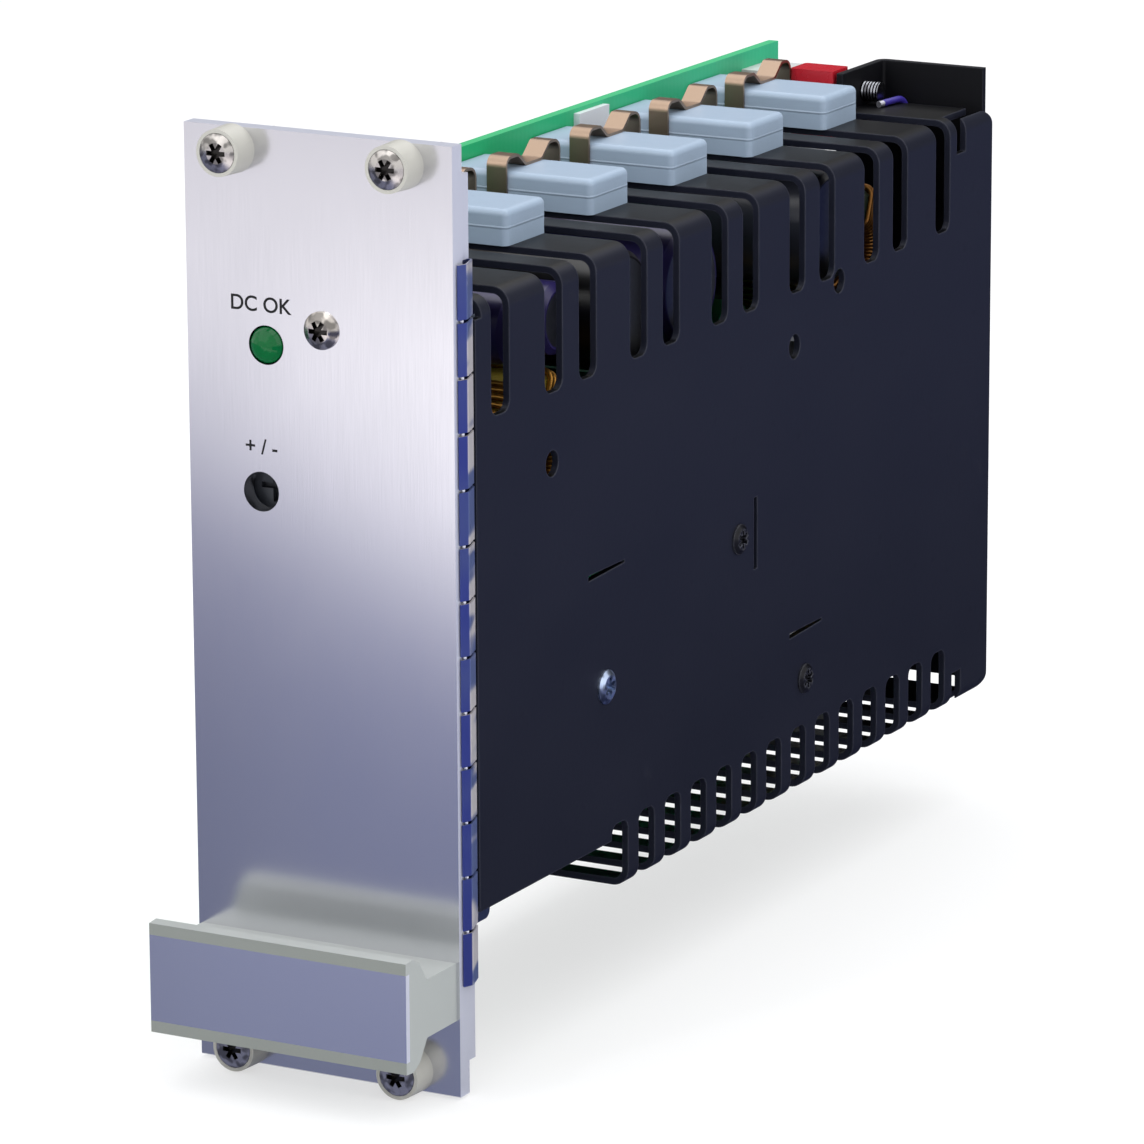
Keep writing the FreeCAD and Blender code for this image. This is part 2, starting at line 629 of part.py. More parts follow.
def make_cover():
    """Sheet cover bent into a channel, slotted across both bends."""
    half = COVER_THICKNESS / 2
    points = [(COVER_LEFT_X, COVER_TOP_Z - half), (COVER_OUTER_X - half, COVER_TOP_Z - half),
              (COVER_OUTER_X - half, COVER_BOTTOM_Z + half), (COVER_LEFT_X, COVER_BOTTOM_Z + half)]
    middle_radius = COVER_BEND_RADIUS - half
    cover = bent_sheet(points, [middle_radius] * 2, COVER_THICKNESS,
                       lambda x, z: Vector(x, COVER_WALL_FRONT_Y, z),
                       OUT_Y * (COVER_WALL_REAR_Y - COVER_WALL_FRONT_Y))
    cutters = cover_corner_cutters()
    cutters += [cover_slot(y, TOP_SLOT_WIDTH, COVER_TOP_Z, TOP_SLOT_END_Z)
                for y in top_slot_starts()]
    cutters += [cover_slot(y, BOTTOM_SLOT_WIDTH, COVER_BOTTOM_Z, BOTTOM_SLOT_END_Z)
                for y in bottom_slot_starts()]
    cutters += [rod(SIDE_HOLE_RADIUS, Vector(COVER_INNER_X - 1, y, z), OUT_X, COVER_THICKNESS + 2)
                for y, z in SIDE_HOLES]
    cutters += [level_slit(y, z) for y, z in LEVEL_SLITS]
    cutters.append(upright_slit())
    for y, z in (BRIGHT_POST,) + BLACK_POSTS:
        cutters.append(rod(WALL_SCREW_RADIUS + STATIC_FIT, Vector(COVER_INNER_X - 1, y, z),
                           OUT_X, COVER_THICKNESS + 2))
    for cutter in cutters:
        cover = cover.cut(cutter)

    def tab_corner(edge):
        """Tell whether an edge is a rear corner of the side wall."""
        at_rear = edge.CenterOfMass.y > COVER_WALL_REAR_Y - COVER_THICKNESS / 2
        return at_rear and abs(edge.tangentAt(edge.FirstParameter).x) > 0.99
    return fillet_edges(cover.removeSplitter(), TAB_CORNER_RADIUS, tab_corner)


def make_posts():
    """Posts between the board and the side wall, one under each wall screw."""
    posts = []
    length = COVER_INNER_X - BOARD_FACE_X
    for y, z in (BRIGHT_POST,) + BLACK_POSTS:
        post = rod(POST_RADIUS, Vector(BOARD_FACE_X, y, z), OUT_X, length)
        bore = rod(WALL_SCREW_RADIUS + STATIC_FIT,
                   Vector(COVER_INNER_X - WALL_SCREW_DEPTH - 1, y, z), OUT_X,
                   WALL_SCREW_DEPTH + 1)
        posts.append(post.cut(bore))
    return Part.makeCompound(posts)


def wall_screw(y, z, head_radius):
    """Low-headed screw through the side wall into its post."""
    profile = [(0, WALL_SCREW_HEAD), (0.7 * head_radius, WALL_SCREW_HEAD),
               (head_radius, 0.35 * WALL_SCREW_HEAD), (head_radius, 0),
               (WALL_SCREW_RADIUS, 0), (WALL_SCREW_RADIUS, -COVER_THICKNESS - WALL_SCREW_DEPTH),
               (0, -COVER_THICKNESS - WALL_SCREW_DEPTH)]
    face = Vector(COVER_OUTER_X, y, z)
    recess = drive_recess(face + OUT_X * WALL_SCREW_HEAD, OUT_Y)
    return turned(profile, face, OUT_X).cut(recess)


def make_side_angle():
    """Upright angle behind the panel that carries the front of the side wall."""
    half = SIDE_ANGLE_THICKNESS / 2
    leg_x = COVER_INNER_X - half
    web_y = FLANGE_DEPTH + SIDE_ANGLE_CLEARANCE + half
    step_x = leg_x - SIDE_ANGLE_STEP
    points = [(step_x - SIDE_ANGLE_FOOT, half), (step_x, half), (step_x, web_y),
              (leg_x, web_y), (leg_x, SIDE_ANGLE_REAR_Y)]
    bottom_z = WALL_LOWER_EDGE_Z - SIDE_ANGLE_DROP
    angle = bent_sheet(points, [SIDE_ANGLE_BEND] * 3, SIDE_ANGLE_THICKNESS,
                       lambda x, y: Vector(x, y, bottom_z),
                       OUT_Z * (WALL_CORNER_Z - bottom_z))

    def rear_end(edge):
        """Tell whether an edge is a rear corner of the leg."""
        at_rear = edge.CenterOfMass.y > SIDE_ANGLE_REAR_Y - half
        return at_rear and abs(edge.tangentAt(edge.FirstParameter).x) > 0.99
    return fillet_edges(angle, SIDE_ANGLE_CORNER, rear_end)


def make_board_bracket():
    """Small angle that joins the panel to the board under the panel screw."""
    half = LEAF_THICKNESS / 2
    points = [(PANEL_SCREW_X + LEAF_MARGIN, half), (BOARD_FACE_X + half, half),
              (BOARD_FACE_X + half, LEAF_LENGTH)]
    bracket = bent_sheet(points, [LEAF_BEND], LEAF_THICKNESS,
                         lambda x, y: Vector(x, y, PANEL_SCREW_Z - LEAF_DROP),
                         OUT_Z * LEAF_HEIGHT)
    lead_room = block((BOARD_FACE_X - 1, BOARD_FACE_X + LEAF_THICKNESS + LEAF_BEND),
                      (LEAF_THICKNESS + LEAF_BEND, LEAF_LENGTH + 1),
                      (PANEL_SCREW_Z - LEAF_DROP - 1, PANEL_SCREW_Z + LEAF_CUT))
    bracket = bracket.cut(lead_room)
    hole = rod(WALL_SCREW_RADIUS + STATIC_FIT,
               Vector(PANEL_SCREW_X, -1, PANEL_SCREW_Z), OUT_Y, LEAF_THICKNESS + 2)
    window = rod(INDICATOR_RADIUS + 1.0, Vector(INDICATOR_X, -1, INDICATOR_Z), OUT_Y,
                 LEAF_THICKNESS + 2)
    return bracket.cut(hole).cut(window)


def make_indicator():
    """Round indicator lamp with a domed lens and two leads to the board."""
    front_y = PANEL_FRONT_Y - INDICATOR_PROUD
    radius = INDICATOR_RADIUS
    arc = [(radius * math.sin(math.radians(angle)), INDICATOR_DOME
            * (1 - math.cos(math.radians(angle)))) for angle in range(0, 91, 18)]
    profile = arc + [(radius, INDICATOR_LENGTH), (0, INDICATOR_LENGTH)]
    lamp = turned(profile, Vector(INDICATOR_X, front_y, INDICATOR_Z), OUT_Y)
    half = INDICATOR_LEAD / 2
    back_y = front_y + INDICATOR_LENGTH
    foot_y = (back_y + INDICATOR_LEAD_REACH - INDICATOR_LEAD, back_y + INDICATOR_LEAD_REACH)
    for z in (INDICATOR_Z - LEAD_PITCH / 2, INDICATOR_Z + LEAD_PITCH / 2):
        lead = block((INDICATOR_X - half, INDICATOR_X + half), (back_y, foot_y[1]),
                     (z - half, z + half))
        foot = block((BOARD_FACE_X, INDICATOR_X + half), foot_y, (z - half, z + half))
        lamp = lamp.fuse(lead).fuse(foot)
    return lamp.removeSplitter()


def make_indicator_holder():
    """Black block on the board that carries the indicator."""
    back_y = PANEL_FRONT_Y - INDICATOR_PROUD + INDICATOR_LENGTH
    reach = INDICATOR_RADIUS + HOLDER_WALL
    holder = block((BOARD_FACE_X, INDICATOR_X + reach),
                   (LEAF_THICKNESS + LEAF_BEND + STATIC_FIT, back_y),
                   (INDICATOR_Z - reach, INDICATOR_Z + reach))
    bore = rod(INDICATOR_RADIUS + STATIC_FIT, Vector(INDICATOR_X, 0, INDICATOR_Z), OUT_Y,
               2 * back_y)
    return holder.cut(bore)


def make_trimmer_body():
    """Trimmer housing that stands on the board with its face to the panel."""
    front_y = 1.2
    half = TRIMMER_BODY_SIZE / 2
    body = block((BOARD_FACE_X, TRIMMER_X + half), (front_y, front_y + TRIMMER_BODY_DEPTH),
                 (TRIMMER_Z - half, TRIMMER_Z + half))
    pocket = rod(TRIMMER_ROTOR_RADIUS + RUNNING_FIT, Vector(TRIMMER_X, front_y, TRIMMER_Z),
                 OUT_Y, TRIMMER_BODY_DEPTH - 1.0)
    return body.cut(pocket)


def make_trimmer_rotor():
    """Rotor disc of the trimmer with a cross slot."""
    start = Vector(TRIMMER_X, 1.2, TRIMMER_Z)
    rotor = rod(TRIMMER_ROTOR_RADIUS, start, OUT_Y, TRIMMER_BODY_DEPTH - 1.0 - RUNNING_FIT)
    slot = block((TRIMMER_X - 2.2, TRIMMER_X + 2.2), (1.0, 2.2), (TRIMMER_Z - 0.4, TRIMMER_Z + 0.4))
    cross = block((TRIMMER_X - 0.4, TRIMMER_X + 0.4), (1.0, 2.2), (TRIMMER_Z - 2.2, TRIMMER_Z + 2.2))
    return rotor.cut(slot).cut(cross)


def make_cap(centre_y):
    """Soft insulating cap, open at the board end, that wraps a transistor."""
    y_range = (centre_y - CAP_WIDTH / 2, centre_y + CAP_WIDTH / 2)
    shell = block((CAP_LEFT_X, CAP_LEFT_X + CAP_LENGTH), y_range, (COVER_TOP_Z, CAP_TOP_Z))

    def outer_edge(edge):
        """Tell whether an edge belongs to the top or to the closed end."""
        centre = edge.CenterOfMass
        level_top = centre.z > CAP_TOP_Z - 0.01 and centre.x > CAP_LEFT_X + 0.01
        end_corner = centre.x > CAP_LEFT_X + CAP_LENGTH - 0.01 and centre.z > COVER_TOP_Z + 0.01
        return level_top or end_corner
    shell = fillet_edges(shell, CAP_EDGE_RADIUS, outer_edge)
    room = block((CAP_LEFT_X - 1, CAP_LEFT_X + CAP_LENGTH - CAP_WALL),
                 (y_range[0] + CAP_WALL, y_range[1] - CAP_WALL),
                 (COVER_TOP_Z + CAP_WALL, CAP_TOP_Z - CAP_WALL))
    return shell.cut(room)


def make_transistor(centre_y):
    """Transistor body inside a cap with three leads to the board."""
    bottom_z = COVER_TOP_Z + CAP_WALL
    right_x = CAP_LEFT_X + CAP_LENGTH - CAP_WALL - 0.2
    body = block((right_x - TRANSISTOR_LENGTH, right_x),
                 (centre_y - TRANSISTOR_WIDTH / 2, centre_y + TRANSISTOR_WIDTH / 2),
                 (bottom_z, bottom_z + TRANSISTOR_HEIGHT))
    leads = []
    for index in range(LEAD_COUNT):
        y = centre_y + (index - (LEAD_COUNT - 1) / 2) * LEAD_PITCH
        middle_z = bottom_z + TRANSISTOR_HEIGHT / 2
        leads.append(block((BOARD_FACE_X, right_x - TRANSISTOR_LENGTH),
                           (y - LEAD_WIDTH / 2, y + LEAD_WIDTH / 2),
                           (middle_z - LEAD_THICKNESS / 2, middle_z + LEAD_THICKNESS / 2)))
    return body.multiFuse(leads).removeSplitter()


def make_clip(centre_y):
    """Spring strip with two arches that presses a cap on the cover.

    Its legs go down through the slots on both sides of the cap.
    """
    half = CLIP_THICKNESS / 2
    front_y = centre_y - CAP_WIDTH / 2 - half - STATIC_FIT
    rear_y = centre_y + WIDE_WEB / 2 + TOP_SLOT_WIDTH - half - STATIC_FIT
    valley_z = CAP_TOP_Z + half
    arch_z = CAP_TOP_Z + CLIP_ARCH_RISE
    foot_z = COVER_TOP_Z - CLIP_LEG_DROP
    rear_z = arch_z + CLIP_REAR_RISE
    slope_y = front_y + CLIP_ARCH_LENGTH
    points = [(front_y, foot_z), (front_y, arch_z), (slope_y, arch_z),
              (slope_y + CLIP_SLOPE_LENGTH, valley_z), (centre_y + CLIP_VALLEY_END, valley_z),
              (centre_y + CLIP_REAR_SLOPE_END, rear_z), (rear_y, rear_z), (rear_y, foot_z)]
    return bent_sheet(points, CLIP_BENDS, CLIP_THICKNESS,
                      lambda y, z: Vector(CLIP_LEFT_X, y, z), OUT_X * CLIP_WIDTH)


def connector_screw_heights():
    """Heights of the two screws that hold the connector."""
    return [side * CONNECTOR_SCREW_SPACING / 2 for side in (1, -1)]


def make_bracket():
    """Rear bracket: a cross plate and a flange that lies on the connector spacers."""
    half = BRACKET_THICKNESS / 2
    points = [(BRACKET_FLANGE_X + half, BRACKET_FLANGE_FRONT_Y),
              (BRACKET_FLANGE_X + half, BRACKET_REAR_Y - half),
              (BRACKET_RIGHT_X, BRACKET_REAR_Y - half)]
    height = BRACKET_TOP_Z - BRACKET_BOTTOM_Z
    bracket = bent_sheet(points, [1.0], BRACKET_THICKNESS,
                         lambda x, y: Vector(x, y, BRACKET_BOTTOM_Z), OUT_Z * height)
    for z in connector_screw_heights():
        hole = rod(CONNECTOR_SCREW_RADIUS + STATIC_FIT,
                   Vector(BRACKET_FLANGE_X - 1, CONNECTOR_SCREW_Y, z), OUT_X, BRACKET_THICKNESS + 2)
        bracket = bracket.cut(hole)
    return bracket


def make_connector():
    """Rear connector: a foot on the board, a neck past its edge and a shroud behind it."""
    half = CONNECTOR_HEIGHT / 2
    foot = block((BOARD_FACE_X, BOARD_FACE_X + CONNECTOR_FOOT_WIDTH),
                 (CONNECTOR_FOOT_FRONT_Y, CONNECTOR_FOOT_REAR_Y), (-half, half))
    z_range = (CONNECTOR_END_STEP - half, half - CONNECTOR_END_STEP)
    neck = block((BOARD_FACE_X, BOARD_FACE_X + CONNECTOR_NECK_WIDTH),
                 (CONNECTOR_FOOT_REAR_Y, BOARD_REAR_Y), z_range)
    shroud_x = (CONNECTOR_SHROUD_LEFT_X, CONNECTOR_SHROUD_LEFT_X + CONNECTOR_SHROUD_WIDTH)
    shroud = block(shroud_x, (BOARD_REAR_Y, CONNECTOR_REAR_Y), z_range)
    socket = block((shroud_x[0] + CONNECTOR_WALL, shroud_x[1] - CONNECTOR_WALL),
                   (CONNECTOR_REAR_Y - CONNECTOR_SOCKET_DEPTH, CONNECTOR_REAR_Y + 1),
                   (-CONNECTOR_SOCKET_HEIGHT / 2, CONNECTOR_SOCKET_HEIGHT / 2))
    connector = foot.fuse(neck).fuse(shroud).cut(socket)
    for z in connector_screw_heights():
        hole = rod(CONNECTOR_SCREW_RADIUS + STATIC_FIT,
                   Vector(BOARD_FACE_X - 1, CONNECTOR_SCREW_Y, z), OUT_X,
                   CONNECTOR_FOOT_WIDTH + 2)
        connector = connector.cut(hole)
    return connector.removeSplitter()


def make_blades():
    """Fifteen contact blades that stand on the floor of the connector shroud."""
    middle_x = CONNECTOR_SHROUD_LEFT_X + CONNECTOR_SHROUD_WIDTH / 2
    floor_y = CONNECTOR_REAR_Y - CONNECTOR_SOCKET_DEPTH
    blades = []
    for index in range(BLADE_COUNT):
        z = (index - (BLADE_COUNT - 1) / 2) * BLADE_PITCH
        x = middle_x + (BLADE_SIZE[0] if index % 2 else -BLADE_SIZE[0])
        blades.append(block((x - BLADE_SIZE[0] / 2, x + BLADE_SIZE[0] / 2),
                            (floor_y, floor_y + BLADE_SIZE[1]),
                            (z - BLADE_SIZE[2] / 2, z + BLADE_SIZE[2] / 2)))
    return Part.makeCompound(blades)


def make_connector_screws():
    """Two screws through board, connector, spacer and bracket flange."""
    end_x = BRACKET_FLANGE_X + BRACKET_THICKNESS + CONNECTOR_SCREW_PROUD
    screws = []
    for z in connector_screw_heights():
        head_x = BOARD_BACK_X - CONNECTOR_HEAD_HEIGHT
        profile = [(0, 0), (0.7 * CONNECTOR_HEAD_RADIUS, 0),
                   (CONNECTOR_HEAD_RADIUS, 0.5 * CONNECTOR_HEAD_HEIGHT),
                   (CONNECTOR_HEAD_RADIUS, CONNECTOR_HEAD_HEIGHT),
                   (CONNECTOR_SCREW_RADIUS, CONNECTOR_HEAD_HEIGHT),
                   (CONNECTOR_SCREW_RADIUS, end_x - head_x), (0, end_x - head_x)]
        screws.append(turned(profile, Vector(head_x, CONNECTOR_SCREW_Y, z), OUT_X))
    return Part.makeCompound(screws)


def make_connector_spacers():
    """Two sleeves between the connector foot and the bracket flange."""
    start_x = BOARD_FACE_X + CONNECTOR_FOOT_WIDTH
    spacers = []
    for z in connector_screw_heights():
        start = Vector(start_x, CONNECTOR_SCREW_Y, z)
        sleeve = rod(SPACER_RADIUS, start, OUT_X, BRACKET_FLANGE_X - start_x)
        bore = rod(CONNECTOR_SCREW_RADIUS + STATIC_FIT, start, OUT_X, BRACKET_FLANGE_X - start_x)
        spacers.append(sleeve.cut(bore))
    return Part.makeCompound(spacers)


def make_can(place, radius, height):
    """Round capacitor standing on the board, with a rolled groove and a rim."""
    groove_x = 3.0
    profile = [(0, 0), (radius - 0.3, 0), (radius, 0.6), (radius, groove_x - 1.0),
               (radius - SLEEVE_GROOVE, groove_x), (radius, groove_x + 1.0),
               (radius, height - RIM_RADIUS), (radius - RIM_RADIUS, height), (0, height)]
    return turned(profile, Vector(BOARD_FACE_X, *place), OUT_X)


def make_ring_core(place, radii, stand, height):
    """Ring core lying flat over the board on a base of its own."""
    inner, outer = radii
    start_x = BOARD_FACE_X + stand
    chamfer = 1.0
    profile = [(inner, chamfer), (inner + chamfer, 0), (outer - chamfer, 0), (outer, chamfer),
               (outer, height - chamfer), (outer - chamfer, height),
               (inner + chamfer, height), (inner, height - chamfer)]
    return turned(profile, Vector(start_x, *place), OUT_X)


def make_ring_winding(place, radii, stand, height):
    """Two halves of wire turns that wrap a ring core."""
    inner, outer = radii
    start_x = BOARD_FACE_X + stand
    gap = STATIC_FIT
    layer = WINDING_THICKNESS
    chamfer = 1.0
    loops = []
    for out_by, base in ((gap, 0), (gap + layer, 0)):
        loops.append([(inner - out_by, chamfer), (inner + chamfer, base - out_by),
                      (outer - chamfer, base - out_by), (outer + out_by, chamfer),
                      (outer + out_by, height - chamfer), (outer - chamfer, height + out_by),
                      (inner + chamfer, height + out_by), (inner - out_by, height - chamfer)])
    halves = []
    centre = Vector(start_x, *place)
    for start_angle in (20.0, 200.0):
        faces = []
        for loop in loops:
            points = [centre + OUT_Z * radius + OUT_X * level for radius, level in loop]
            faces.append(Part.Face(Part.makePolygon(points + [points[0]])))
        section = faces[1].cut(faces[0])
        section.rotate(centre, OUT_X, start_angle)
        halves.append(section.revolve(centre, OUT_X, WINDING_SECTOR).Solids[0])
    return Part.makeCompound(halves)


def make_choke_base(place, radii, stand):
    """Moulded base that lifts a ring choke off the board."""
    outer = radii[1] - 1.5
    gap = STATIC_FIT + WINDING_THICKNESS
    return rod(outer, Vector(BOARD_FACE_X, *place), OUT_X, stand - gap - STATIC_FIT)


def make_transformer_core():
    """Ferrite core: a closed frame around the winding with a round middle leg."""
    y, z = TRANSFORMER_CENTRE
    depth, width, height = CORE_SIZE
    x_range = (BOARD_FACE_X + CORE_STAND, BOARD_FACE_X + CORE_STAND + depth)
    frame = block(x_range, (y - width / 2, y + width / 2), (z - height / 2, z + height / 2))
    window = block((x_range[0] + CORE_LEG, x_range[1] - CORE_LEG),
                   (y - width / 2 + CORE_SIDE, y + width / 2 - CORE_SIDE), (z - height, z + height))
    leg = rod(CORE_POST_RADIUS, Vector(x_range[0] + CORE_LEG, y, z), OUT_X, depth - 2 * CORE_LEG)
    return frame.cut(window).fuse(leg).removeSplitter()


def make_transformer_winding():
    """Taped winding around the middle leg of the core."""
    y, z = TRANSFORMER_CENTRE
    start = Vector(BOARD_FACE_X + CORE_STAND + CORE_LEG + STATIC_FIT, y, z)
    length = CORE_SIZE[0] - 2 * CORE_LEG - 2 * STATIC_FIT
    outer = rod(WINDING_RADIUS, start, OUT_X, length)
    return outer.cut(rod(CORE_POST_RADIUS + STATIC_FIT, start, OUT_X, length))


def make_transformer_foot():
    """Bobbin flange that stands the transformer on the board."""
    y, z = TRANSFORMER_CENTRE
    width, height = CORE_SIZE[1], CORE_SIZE[2]
    return block((BOARD_FACE_X, BOARD_FACE_X + CORE_STAND), (y - width / 2 + 1, y + width / 2 - 1),
                 (z - height / 2 + 1, z + height / 2 - 1))


def board_box(place, size, radius):
    """Boxed part standing on the board, with rounded upright corners."""
    y, z = place
    return rounded_block((BOARD_FACE_X, BOARD_FACE_X + size[0]),
                         (y - size[1] / 2, y + size[1] / 2),
                         (z - size[2] / 2, z + size[2] / 2), radius, OUT_X)


def make_fuse():
    """Glass fuse with two metal end caps, lying along the board."""
    y, z = FUSE
    start = Vector(BOARD_FACE_X + FUSE_STAND, y - FUSE_LENGTH / 2, z)
    profile = [(0, 0), (FUSE_RADIUS, 0), (FUSE_RADIUS, FUSE_CAP_LENGTH),
               (FUSE_RADIUS - 0.15, FUSE_CAP_LENGTH),
               (FUSE_RADIUS - 0.15, FUSE_LENGTH - FUSE_CAP_LENGTH),
               (FUSE_RADIUS, FUSE_LENGTH - FUSE_CAP_LENGTH), (FUSE_RADIUS, FUSE_LENGTH),
               (0, FUSE_LENGTH)]
    return turned(profile, start, OUT_Y)


def make_fuse_clips():
    """Two clips on the board that hold the ends of the fuse."""
    y, z = FUSE
    reach = FUSE_RADIUS + 0.8
    clips = []
    for side in (-1, 1):
        middle_y = y + side * (FUSE_LENGTH / 2 - FUSE_CAP_LENGTH / 2)
        clip = block((BOARD_FACE_X, BOARD_FACE_X + FUSE_STAND + 1.5),
                     (middle_y - 1.8, middle_y + 1.8), (z - reach, z + reach))
        seat = rod(FUSE_RADIUS + STATIC_FIT, Vector(BOARD_FACE_X + FUSE_STAND, y - FUSE_LENGTH, z),
                   OUT_Y, 2 * FUSE_LENGTH)
        room = block((BOARD_FACE_X + 1.0, BOARD_FACE_X + FUSE_STAND + 3), (y - FUSE_LENGTH, y + FUSE_LENGTH),
                     (z - 1.6, z + 1.6))
        clips.append(clip.cut(seat).cut(room))
    return Part.makeCompound(clips)


def make_film_capacitor():
    """Small boxed capacitor held off the board on its two leads."""
    depth, length, height = FILM_CAPACITOR_SIZE
    y_range = (FILM_CAPACITOR_FRONT_Y, FILM_CAPACITOR_FRONT_Y + length)
    body = rounded_block((FILM_CAPACITOR_LEFT_X, FILM_CAPACITOR_LEFT_X + depth), y_range,
                         (FILM_CAPACITOR_TOP_Z - height, FILM_CAPACITOR_TOP_Z), 0.5, OUT_Z)
    for z in (FILM_CAPACITOR_TOP_Z - 2.4, FILM_CAPACITOR_TOP_Z - height + 2.4):
        lead = rod(FILM_LEAD_RADIUS, Vector(BOARD_FACE_X, y_range[0] + 1.1, z), OUT_X,
                   FILM_CAPACITOR_LEFT_X - BOARD_FACE_X)
        body = body.fuse(lead)
    return body.removeSplitter()


def make_chip():
    """Flat white part on the board near its top edge."""
    y, z = CHIP_PLACE
    return block((BOARD_FACE_X, BOARD_FACE_X + CHIP_SIZE[0]), (y, y + CHIP_SIZE[1]),
                 (z - CHIP_SIZE[2], z))


def make_wire():
    """Insulated wire from the bracket over the rear edge of the top plate.

    It lies forward on the plate and ends in a bare tip.
    """
    rest_z = COVER_TOP_Z + WIRE_RADIUS
    rise_y = COVER_PLATE_REAR_Y + WIRE_RADIUS + WIRE_EDGE_GAP
    plate_y = BRACKET_REAR_Y - BRACKET_THICKNESS
    points = [Vector(WIRE_X, plate_y, rest_z - WIRE_DROP), Vector(WIRE_X, rise_y, rest_z - WIRE_DROP),
              Vector(WIRE_X, rise_y, rest_z + 0.2), Vector(WIRE_X - 1.4, rise_y - WIRE_LENGTH, rest_z)]
    edges, start = [], points[0]
    for index, radius in ((1, WIRE_BENDS[0]), (2, WIRE_BENDS[1])):
        came = (points[index] - points[index - 1]).normalize()
        goes = (points[index + 1] - points[index]).normalize()
        half_turn = came.getAngle(goes) / 2
        reach = radius * math.tan(half_turn)
        enter, leave = points[index] - came * reach, points[index] + goes * reach
        inward = (goes - came).normalize()
        crown = points[index] + inward * (radius / math.cos(half_turn) - radius)
        if (enter - start).Length > 1e-6:
            edges.append(Part.LineSegment(start, enter).toShape())
        edges.append(Part.Arc(enter, crown, leave).toShape())
        start = leave
    edges.append(Part.LineSegment(start, points[-1]).toShape())
    ring = Part.Wire(Part.makeCircle(WIRE_RADIUS, points[0], points[1] - points[0]))
    return Part.Wire(edges).makePipeShell([ring], True, False)


def build_parts():
    """Every sub-part by name."""
    parts = {"front_panel": make_front_panel(), "contact_strip": make_contact_strip(),
             "pull_handle": make_handle(), "handle_strip": make_handle_strip(),
             "panel_screw": make_panel_screw(), "board_bracket": make_board_bracket(),
             "side_angle": make_side_angle(), "main_board": make_board(),
             "slotted_cover": make_cover(), "wall_posts": make_posts(),
             "indicator_lamp": make_indicator(), "indicator_holder": make_indicator_holder(),
             "trimmer_body": make_trimmer_body(), "trimmer_rotor": make_trimmer_rotor()}
    for number, (x, z) in enumerate(SCREW_CORNERS, 1):
        parts[f"screw_collar_{number}"] = make_collar(x, z)
        parts[f"captive_screw_{number}"] = make_captive_screw(x, z)
    for number, centre_y in enumerate(CAP_CENTRES_Y, 1):
        parts[f"insulating_cap_{number}"] = make_cap(centre_y)
        parts[f"spring_clip_{number}"] = make_clip(centre_y)
    parts["power_transistors"] = Part.makeCompound(
        [make_transistor(centre_y) for centre_y in CAP_CENTRES_Y])
    parts["bright_wall_screw"] = wall_screw(*BRIGHT_POST, BRIGHT_HEAD_RADIUS)
    parts["black_wall_screws"] = Part.makeCompound(
        [wall_screw(y, z, BLACK_HEAD_RADIUS) for y, z in BLACK_POSTS])
    parts["rear_bracket"] = make_bracket()
    parts["rear_connector"] = make_connector()
    parts["connector_blades"] = make_blades()
    parts["connector_screws"] = make_connector_screws()
    parts["connector_spacers"] = make_connector_spacers()
    parts["output_capacitors"] = Part.makeCompound(
        [make_can(place, OUTPUT_CAPACITOR_RADIUS, OUTPUT_CAPACITOR_HEIGHT)
         for place in OUTPUT_CAPACITORS])
    parts["filter_capacitors"] = Part.makeCompound(
        [make_can(place, FILTER_CAPACITOR_RADIUS, FILTER_CAPACITOR_HEIGHT)
         for place in FILTER_CAPACITORS])
    parts["bulk_capacitors"] = Part.makeCompound(
        [make_can(place, BULK_CAPACITOR_RADIUS, BULK_CAPACITOR_HEIGHT)
         for place in BULK_CAPACITORS])
    for name, place, radii, stand, height in (
            ("output_choke", OUTPUT_CHOKE, OUTPUT_CHOKE_RADII, OUTPUT_CHOKE_STAND,
             OUTPUT_CHOKE_HEIGHT),
            ("mains_choke", MAINS_CHOKE, MAINS_CHOKE_RADII, MAINS_CHOKE_STAND,
             MAINS_CHOKE_HEIGHT)):
        parts[f"{name}_core"] = make_ring_core(place, radii, stand, height)
        parts[f"{name}_winding"] = make_ring_winding(place, radii, stand, height)
        parts[f"{name}_base"] = make_choke_base(place, radii, stand)
    parts["transformer_core"] = make_transformer_core()
    parts["transformer_winding"] = make_transformer_winding()
    parts["transformer_foot"] = make_transformer_foot()
    parts["line_capacitor"] = board_box(LINE_CAPACITOR, LINE_CAPACITOR_SIZE, 0.8)
    parts["bridge_rectifier"] = board_box(RECTIFIER, RECTIFIER_SIZE, 0.6)
    parts["mains_fuse"] = make_fuse()
    parts["fuse_clips"] = make_fuse_clips()
    parts["film_capacitor"] = make_film_capacitor()
    parts["white_chip"] = make_chip()
    parts["earth_wire"] = make_wire()
    return parts


def main():
    """Build every sub-part and write each one to its own file."""
    os.makedirs("parts", exist_ok=True)
    for name, shape in build_parts().items():
        if not shape.isValid():
            raise RuntimeError(f"{name} is not a valid shape")
        shape.exportStep(f"parts/{name}.step")
        print(f"{name}: {len(shape.Solids)} solid(s), {shape.Volume:.0f} mm3")


main()
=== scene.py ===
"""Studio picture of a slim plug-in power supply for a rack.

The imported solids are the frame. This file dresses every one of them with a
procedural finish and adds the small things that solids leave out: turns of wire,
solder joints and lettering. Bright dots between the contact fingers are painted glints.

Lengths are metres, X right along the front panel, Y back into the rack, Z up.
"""

import json
import logging
import math
from abc import ABC, abstractmethod
from dataclasses import dataclass
from enum import Enum
from typing import Any, Callable, Sequence

import bmesh
import bpy
from mathutils import Matrix, Vector

